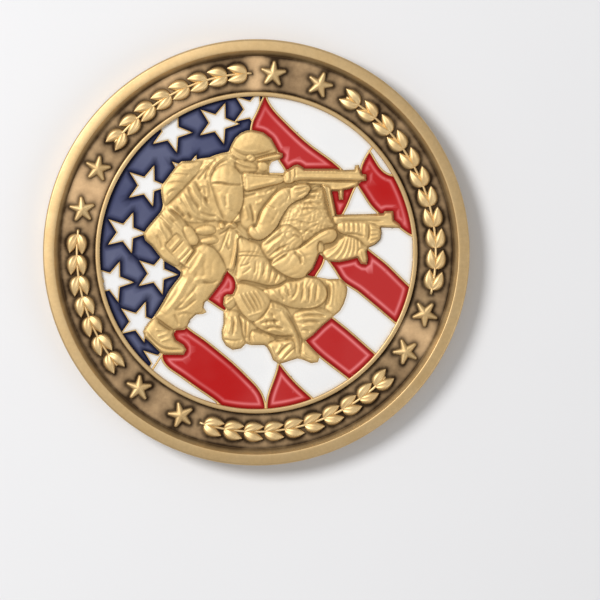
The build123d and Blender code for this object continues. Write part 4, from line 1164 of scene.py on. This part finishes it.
def front_hand(r):
    """Hand round the forestock."""
    r.mass([(8.5, 3.25), (10.2, 3.3), (11.9, 3.2), (13.0, 2.6), (13.1, 1.5), (12.4, 0.8),
            (11.6, 0.5), (10.9, 1.2), (10.2, 1.7), (9.0, 1.9), (8.3, 2.4)], 0.24, 0.2, 0.5)
    first_finger = 8.95
    finger_pitch = 0.5
    for k in range(4):
        x = first_finger + finger_pitch * k
        r.line([(x + 0.1, 2.1), (x, 2.6), (x + 0.05, 3.15)], 0.13, 0.065)
        r.line([(x + 0.3, 2.2), (x + 0.25, 3.1)], 0.07, -0.06)
    r.line([(11.35, 1.7), (11.3, 2.4), (11.35, 3.1)], 0.14, 0.08)
    r.lines([[(9.0, 1.95), (10.2, 2.0), (11.2, 1.7)], [(11.7, 3.0), (11.8, 2.2), (11.6, 1.2)]],
            0.10, -0.10)
    r.folds([(11.8, 1.0), (12.3, 1.1), (12.8, 1.4)], [(11.9, 2.5), (12.4, 2.5), (13.0, 2.5)], 4,
            0.12, 0.08)
    r.line([(8.9, 1.9), (9.6, 1.6), (10.4, 1.5)], 0.13, 0.08)


def front_soldier(r):
    """Kneeling in front, in a net-covered helmet, with a second rifle that points right."""
    r.figure = FRONT
    for part in (
        front_calf, front_shin, front_boots, front_knee, front_thigh, front_resting_hand,
        front_vest, front_bag, front_helmet, front_shoulder, front_elbow, front_pleats, front_grip,
        front_rifle, front_hand,
    ):
        part(r)


# ---- from the height map to the two figures ----
FIELD_REACH = 1.2            # how far from the cells their distance is worked out
FIGURE_LIFT = 0.10
LIFT_REACH = (0.1, 0.9)
SILHOUETTE_ROLL = 0.24
SILHOUETTE_GAP = 0.015
WIDE_ENOUGH = 0.17
FIGURE_FOOT = -0.05
LOWEST = 0.02
HIGHEST = THICK - WALL_TOP - 0.03
CLOTH_GRAIN = 0.0035
GRAIN_FADE = (0.1, 0.3)
HOLLOW_FULL = 0.075          # depth of a hollow that has all its painted shade
HOLLOW_SHADE = 0.62
SMALLEST_PART = 60
CORNER_PASSES = 4


def field_gap(r, outlines, reach):
    """Distance from each point of the grid to the enamel cells, negative inside them."""
    gap = np.full(r.height.shape, reach)
    turns = np.zeros(r.height.shape, int)
    for x0, y0, x1, y1 in np.vstack(outlines):
        part, x, y = r.window(np.array([(x0, y0), (x1, y1)]), reach)
        if x.size:
            away, _ = distance(x, y, [(x0, y0, x1, y1)])
            np.minimum(gap[part], away, out=gap[part])
        if y0 != y1:
            rows = np.arange(*np.searchsorted(r.y, sorted((y0, y1))))
            crossing = x0 + (r.y[rows] - y0) * (x1 - x0) / (y1 - y0)
            columns = np.searchsorted(r.x, crossing)
            inside = columns < len(r.x)
            np.add.at(turns, (rows[inside], columns[inside]), 1)
    return np.where(np.cumsum(turns, axis=1) % 2 == 1, -gap, gap)


def whole_parts(cells):
    """The cells without small islands, and without cells that touch others at a corner only."""
    cells = cells.copy()
    for _ in range(CORNER_PASSES):
        falling = cells[:-1, :-1] & cells[1:, 1:] & ~cells[1:, :-1] & ~cells[:-1, 1:]
        cells[:-1, :-1] &= ~falling
        rising = cells[1:, :-1] & cells[:-1, 1:] & ~cells[:-1, :-1] & ~cells[1:, 1:]
        cells[1:, :-1] &= ~rising
    # each cell takes the highest number among its neighbours until every part has one number
    label = np.pad(np.where(cells, np.arange(1, cells.size + 1).reshape(cells.shape), 0), 1)
    inside = label > 0
    settled = False
    while not settled:
        grown = label
        for axis in (0, 1):
            for way in (1, -1):
                grown = np.where(inside, np.maximum(grown, np.roll(grown, way, axis)), 0)
        settled = (grown == label).all()
        label = grown
    label = label[1:-1, 1:-1]
    return cells & (np.bincount(label.ravel())[label] >= SMALLEST_PART)


def figure_piece(name, r, mask, patina_and_painted_light):
    """The part of the height map inside the mask, as a solid."""
    quads = whole_parts(mask[:-1, :-1] & mask[1:, :-1] & mask[:-1, 1:] & mask[1:, 1:])
    rows, columns = np.nonzero(quads)
    width = mask.shape[1]
    first = rows * width + columns
    corners = np.column_stack([first, first + 1, first + width + 1, first + width])
    used, renumbered = np.unique(corners, return_inverse=True)
    z = WALL_TOP + r.height.ravel()[used]
    faces = [tuple(face) for face in renumbered.reshape(corners.shape).tolist()]
    top = np.column_stack([r.x[used % width], r.y[used // width], z])
    verts, faces = closed_below(top, faces, CELL_FLOOR + ABOVE_FLOOR / 2)
    shade = np.zeros(len(verts))
    shade[:len(used)] = patina_and_painted_light.ravel()[used]
    piece(name, verts, faces, relief_gold, ["coin_body"], {"patina_and_painted_light": shade})


def spread(cells, reach):
    """Share of the cells round each one that are set."""
    return blurred(cells.astype(float), reach)


relief = Relief(RELIEF_LOW, RELIEF_HIGH)
field = field_gap(relief, obverse_outlines, FIELD_REACH)
relief.height += FIGURE_LIFT * smooth_step(field, *LIFT_REACH)
rear_soldier(relief)
front_soldier(relief)

# The figures stand where there is room between the cells, and roll down to them at their outline
wide = (field > WIDE_ENOUGH) & (spread(relief.owner > 0, 4) > 0.02)
standing = (spread(wide, 3) > 0.01) & (field > SILHOUETTE_GAP)
relief.height = np.clip(relief.height, LOWEST, HIGHEST) - FIGURE_FOOT
relief.height = FIGURE_FOOT + relief.height * smooth_step(field, 0.01, SILHOUETTE_ROLL)
relief.height = blurred(relief.height, 1, 1)
grain = blurred(np.random.default_rng(7).standard_normal(relief.height.shape), 2)
relief.height += grain * (CLOTH_GRAIN / grain.std()) * smooth_step(field, *GRAIN_FADE)
# Painted shade: the figures are darkened towards the relief gold's dark tone in their hollows, where
# shade would fall.
hollow = blurred(relief.height, 6) - relief.height
patina_and_painted_light = np.clip(hollow / HOLLOW_FULL, 0, 1) * HOLLOW_SHADE

nearer_front = spread(relief.owner == FRONT, 5) > spread(relief.owner == REAR, 5)
front = (relief.owner == FRONT) | ((relief.owner == 0) & nearer_front)
figure_piece("rear_soldier", relief, standing & ~front, patina_and_painted_light)
figure_piece("front_soldier", relief, standing & (spread(front, 1) > 0.01), patina_and_painted_light)

# ---- ornaments of both bands: small stars and laurel sprays on an antiqued floor ----
FOOT = 0.05                  # how far the ornaments reach into the floor
BAND_STARS = [84.6, 69.3, 152, 166, 229, 245, 340, 326.4]
BAND_STAR_TIP = 1.42
# First and last angle of each spray, and its pairs of leaves
OBVERSE_SPRAYS = [(93, 144, 8), (174, 221, 7), (253, 318, 10), (348, 422, 11)]
REVERSE_SPRAYS = [(34, 78, 7), (102, 146, 7)]
LEAF_LENGTH = 2.15
LEAF_WIDTH = 1.28
LEAF_LEAN = 33
LEAF_BEND = 22
LEAF_RISE = 0.50
LEAF_ALONG = 12
LEAF_ACROSS = 9
LEAF_TIP = 0.02
MIDRIB_DEPTH = 0.13
MIDRIB_HALF = 0.16           # of the leaf's half width
STEM_FOOT = 0.15
STEM_TOP = 0.09
STEM_RISE = 0.27
STEM_LEAD = 1.5              # degrees of bare stem before the first leaves
STEM_STEPS = 60
ARM_ROOT = 0.56
ARM_END = 0.22
ARM_RISE = 0.5
ARM_FALL = 0.35
STAR_AROUND = 120
STAR_INWARDS = 10


def leaf(base, direction, bend):
    """A blocky leaf with a sunk midrib: its vertices and faces."""
    verts = []
    for i in range(LEAF_ALONG + 1):
        u = i / LEAF_ALONG
        half = LEAF_TIP
        if 0 < i < LEAF_ALONG:
            half = LEAF_WIDTH / 2 * sin(pi * u ** 0.85) ** 0.75
        angle = radians(direction + bend * (u - 0.3))
        x = base[0] + LEAF_LENGTH * u * cos(angle)
        y = base[1] + LEAF_LENGTH * u * sin(angle)
        crown = LEAF_RISE * (0.55 + 0.45 * sin(pi * min(u * 1.1, 1)))
        for j in range(LEAF_ACROSS):
            v = 2 * j / (LEAF_ACROSS - 1) - 1
            midrib = MIDRIB_DEPTH * np.exp(-(v / MIDRIB_HALF) ** 2) * (1 - u)
            z = BAND_FLOOR + crown * (1 - abs(v) ** 3.5) - midrib
            verts.append((x - sin(angle) * half * v, y + cos(angle) * half * v, z))
    faces = []
    for i in range(LEAF_ALONG):
        for j in range(LEAF_ACROSS - 1):
            a = i * LEAF_ACROSS + j
            faces.append((a, a + LEAF_ACROSS, a + LEAF_ACROSS + 1, a + 1))
    return closed_below(np.array(verts), faces, BAND_FLOOR - FOOT)


def ornament(name, parts, stain_height, stain, least, reverse):
    """Small meshes joined in one piece, stained towards their feet; gives back its plan points."""
    verts = []
    faces = []
    for some_verts, some_faces in parts:
        start = len(verts)
        verts += [tuple(v) for v in some_verts]
        faces += [tuple(i + start for i in face) for face in some_faces]
    verts = np.array(verts)
    heights = verts[:, 2] - BAND_FLOOR
    patina_and_painted_light = least + np.clip(1 - heights / stain_height, 0, 1) * stain
    piece(name, verts, faces, ornament_gold, ["coin_body"], {"patina_and_painted_light": patina_and_painted_light},
          reverse=reverse)
    return verts[:, :2]


def laurel(name, first, last, pairs, radius, reverse):
    """Spray along the band: a stem with pairs of leaves."""
    pitch = (last - first) / pairs
    parts = []
    for k in range(pairs):
        base_angle = first + pitch * k
        for side in (-1, 1):
            direction = base_angle + 90 - side * LEAF_LEAN
            parts.append(leaf(polar(radius, base_angle), direction, side * LEAF_BEND))
    stem = [(radius - STEM_FOOT, BAND_FLOOR), (radius - STEM_TOP, BAND_FLOOR + STEM_RISE),
            (radius + STEM_TOP, BAND_FLOOR + STEM_RISE), (radius + STEM_FOOT, BAND_FLOOR)]
    stem_verts, stem_faces = lathe(stem, STEM_STEPS, first - STEM_LEAD, last - pitch * 0.3)
    parts.append(closed_below(stem_verts, [face[::-1] for face in stem_faces], BAND_FLOOR - FOOT))
    return ornament(name, parts, 0.22, 0.9, 0, reverse)


def arm_height(x, y):
    """Height share of a star whose five arms are rounded, tapering ridges."""
    length = BAND_STAR_TIP - ARM_END
    best = np.zeros(x.shape)
    for k in range(5):
        ax, ay = polar(1, 72 * k)
        along = np.clip((x * ax + y * ay) / length, 0, 1)
        gap = np.hypot(x - along * ax * length, y - along * ay * length)
        half = ARM_ROOT + (ARM_END - ARM_ROOT) * along
        ridge = np.sqrt(np.clip(1 - (gap / half) ** 2, 0, 1)) * (1 - ARM_FALL * along)
        best = np.maximum(best, ridge)
    return best


def arm_star(centre, turn):
    """Vertices and faces of such a star."""
    angles = np.radians(np.arange(STAR_AROUND) * 360 / STAR_AROUND)
    reach = np.linspace(0.05, BAND_STAR_TIP, 160)
    rising = arm_height(np.outer(np.cos(angles), reach), np.outer(np.sin(angles), reach)) > 0
    outer = reach[rising.cumprod(axis=1).sum(axis=1) - 1]
    radii = np.outer(outer, np.sin(np.linspace(0, pi / 2, STAR_INWARDS + 1)))
    x = np.cos(angles)[:, None] * radii
    y = np.sin(angles)[:, None] * radii
    z = BAND_FLOOR + ARM_RISE * arm_height(x, y)
    z[:, -1] = BAND_FLOOR
    c = cos(radians(turn))
    s = sin(radians(turn))
    verts = np.column_stack([(centre[0] + x * c - y * s).ravel(),
                             (centre[1] + x * s + y * c).ravel(), z.ravel()])
    n = STAR_INWARDS + 1
    faces = []
    for k in range(STAR_AROUND):
        a = k * n
        b = (k + 1) % STAR_AROUND * n
        faces += [(a + i, a + i + 1, b + i + 1, b + i) for i in range(1, STAR_INWARDS)]
        faces.append((0, a + 1, b + 1))
    return closed_below(verts, faces, BAND_FLOOR - FOOT)


def star_piece(name, places, radius, reverse):
    """Small stars along the band, each with an arm that points outwards."""
    parts = [arm_star(polar(radius, angle), angle) for angle in places]
    return ornament(name, parts, 0.34, 0.75, 0.20, reverse)


# ---- floor of a band ----
FLOOR_STEPS = 3              # per degree
FLOOR_RINGS = 32
FLOOR_LIFT = 0.004
SECTOR = 4
FARTHEST = 9.0
FLOOR_STAIN = 0.50
HALO = (0.22, 0.80)          # stain round the ornaments and its reach: a wide one and a close one
CLOSE_HALO = (0.45, 0.26)
FOOT_STAIN = (0.60, 0.26)    # the same along both walls
PAINTED_SHEEN_SPOTS = [(159, 10), (90, 3), (-27, 6), (118, 10)]     # angles and spreads of the spots painted lighter, a painted highlight of the key light on the flat floor
PAINTED_SHEEN_SHARE = 0.44


def stained(gap, strength_and_reach):
    """Patina that fades with the distance from what it gathers round."""
    strength, reach = strength_and_reach
    return strength * np.exp(-(gap / reach) ** 2)


def band_floor(name, inner, outer, first, last, ornaments, reverse):
    """Floor of the band; the stain gathers round the ornaments and against both walls, and is lowered
    at a few spots as a painted highlight.
    """
    steps = (last - first) * FLOOR_STEPS
    radii = np.linspace(inner, outer, FLOOR_RINGS)
    verts, faces = lathe([(r, BAND_FLOOR + FLOOR_LIFT) for r in radii], steps, first, last)
    x, y, _ = verts.T
    r = np.hypot(x, y)
    angles = np.degrees(np.arctan2(y, x))
    to_ornament = np.full(len(verts), FARTHEST)
    sectors = np.floor(angles / SECTOR).astype(int)
    ornament_angles = np.degrees(np.arctan2(ornaments[:, 1], ornaments[:, 0]))
    ornament_sectors = np.floor(ornament_angles / SECTOR).astype(int)
    for number in np.unique(sectors):
        mine = sectors == number
        close = (ornament_sectors - number + 1) % (360 // SECTOR) <= 2
        if close.any():
            gap = np.hypot(x[mine][:, None] - ornaments[close][:, 0],
                           y[mine][:, None] - ornaments[close][:, 1])
            to_ornament[mine] = gap.min(1)
    # Painted highlight: the stain is lowered at these angles, where the key light's sheen lies on the
    # flat floor.
    painted_sheen = sum(np.exp(-(((angles - place + 180) % 360 - 180) / width) ** 2)
                 for place, width in PAINTED_SHEEN_SPOTS)
    patina_and_painted_light = (FLOOR_STAIN - PAINTED_SHEEN_SHARE * painted_sheen + stained(to_ornament, HALO)
              + stained(to_ornament, CLOSE_HALO)
              + stained(r - inner, FOOT_STAIN) + stained(outer - r, FOOT_STAIN))
    verts, faces = closed_below(verts, [face[::-1] for face in faces], BAND_FLOOR - FOOT)
    patina_and_painted_light = np.concatenate([np.clip(patina_and_painted_light, 0, 1), np.ones(len(verts) - len(patina_and_painted_light))])
    piece(name, verts, faces, band_gold, ["coin_body"], {"patina_and_painted_light": patina_and_painted_light},
          reverse=reverse)


ornaments = [laurel(f"laurel_spray_{number}", *spray, BAND_R, False)
             for number, spray in enumerate(OBVERSE_SPRAYS, 1)]
ornaments.append(star_piece("band_stars", BAND_STARS, BAND_R, False))
band_floor("band_floor", RING_OUT, RIM_FOOT, 0, 360, np.vstack(ornaments), False)

ornaments = [laurel(f"reverse_spray_{number}", *spray, REVERSE_BAND_R, True)
             for number, spray in enumerate(REVERSE_SPRAYS, 1)]
ornaments.append(star_piece("reverse_band_star", [90], REVERSE_BAND_R, True))
band_floor("reverse_band_floor", REVERSE_BAND_IN, RIM_FOOT, band_first, band_last,
           np.vstack(ornaments), True)

# ---- crest of the reverse ----
CREST_EDGE = 0.04
CREST_SKIRT = 0.1


def faceted_star(centre, tip, inner, turn, low, edge, top):
    """Five-pointed star with a ridge along each arm, and sides that flare out below its edge."""
    verts = [(centre[0], centre[1], top)]
    for level, grow in ((edge, 0), (low, CREST_SKIRT)):
        for k in range(10):
            x, y = polar((inner if k % 2 else tip) + grow, turn + 36 * k)
            verts.append((centre[0] + x, centre[1] + y, level))
    faces = []
    for k in range(10):
        j = (k + 1) % 10
        faces.append((0, 1 + k, 1 + j))
        faces.append((1 + k, 11 + k, 11 + j, 1 + j))
    faces.append(tuple(range(20, 10, -1)))
    return verts, faces


verts, faces = faceted_star(CREST_CENTRE, CREST_TIP, CREST_INNER, 90, WALL_TOP - FOOT,
                            WALL_TOP + CREST_EDGE, THICK - CREST_EDGE)
heights = np.array(verts)[:, 2] - WALL_TOP
piece("crest_star", verts, faces, ornament_gold, ["coin_body"],
      {"patina_and_painted_light": np.clip(0.95 - heights / 0.5, 0, 1)}, smooth=False, reverse=True)

# ---- floor, light and camera ----
VIEW_TILT = 3.5              # degrees from straight above
VIEW_SIDE = 113              # side of the coin that the camera leans to
CAMERA_DISTANCE = 0.6
SENSOR = 36.0
FRAME_WIDTH = 62.45 * MM
AIM = (4.52 * MM, -4.89 * MM, THICK * MM)
FLOOR_HALF = 3.0
FLOOR_TONES = ((0.73, 0.735, 0.76, 1), (0.75, 0.755, 0.78, 1))
WORLD_COLOUR = (1.0, 0.985, 0.955, 1)
WORLD_STRENGTH = 0.44


def area_light(name, place, size, power, colour):
    """Round soft light that points at the coin."""
    data = bpy.data.lights.new(name, "AREA")
    data.shape = "DISK"
    data.size = size
    data.energy = power
    data.color = colour
    lamp = bpy.data.objects.new(name, data)
    bpy.context.scene.collection.objects.link(lamp)
    lamp.location = place
    lamp.rotation_euler = (-Vector(place)).to_track_quat("-Z", "Y").to_euler()


floor_paint = Nodes("floor_paint")
cloud = floor_paint.span(floor_paint.noise(12, 4.0, 0.5), 0.3, 0.7)
floor_paint.wire("Base Color", floor_paint.mix(cloud, *FLOOR_TONES))
floor_paint.shader.inputs["Roughness"].default_value = 0.8
floor_mesh = bpy.data.meshes.new("floor")
corners = [(x * FLOOR_HALF, y * FLOOR_HALF, 0) for x, y in ((-1, -1), (1, -1), (1, 1), (-1, 1))]
floor_mesh.from_pydata(corners, [], [(0, 1, 2, 3)])
floor_mesh.materials.append(floor_paint.material)
floor = bpy.data.objects.new("floor", floor_mesh)
bpy.context.scene.collection.objects.link(floor)

area_light("key", (-0.249, 0.155, 0.341), 0.17, 1.72, (1.0, 0.99, 0.97))
area_light("fill", (0.45, -0.25, 0.40), 0.45, 0.7, (0.97, 0.98, 1.0))
world = bpy.data.worlds.new("studio")
world.use_nodes = True
background = world.node_tree.nodes["Background"]
background.inputs["Color"].default_value = WORLD_COLOUR
background.inputs["Strength"].default_value = WORLD_STRENGTH
bpy.context.scene.world = world
bpy.context.scene.view_settings.view_transform = "Standard"

camera_data = bpy.data.cameras.new("camera")
camera_data.sensor_width = SENSOR
camera_data.lens = SENSOR * CAMERA_DISTANCE / FRAME_WIDTH
camera = bpy.data.objects.new("camera", camera_data)
bpy.context.scene.collection.objects.link(camera)
away_x, away_y = polar(sin(radians(VIEW_TILT)), VIEW_SIDE)
look = Vector((away_x, away_y, cos(radians(VIEW_TILT))))
right = Vector((0, 1, 0)).cross(look).normalized()
up = look.cross(right).normalized()
aim = right * AIM[0] + up * AIM[1] + Vector((0, 0, AIM[2]))
camera.location = aim + look * CAMERA_DISTANCE
camera.rotation_euler = Matrix((right, up, look)).transposed().to_euler()
bpy.context.scene.camera = camera
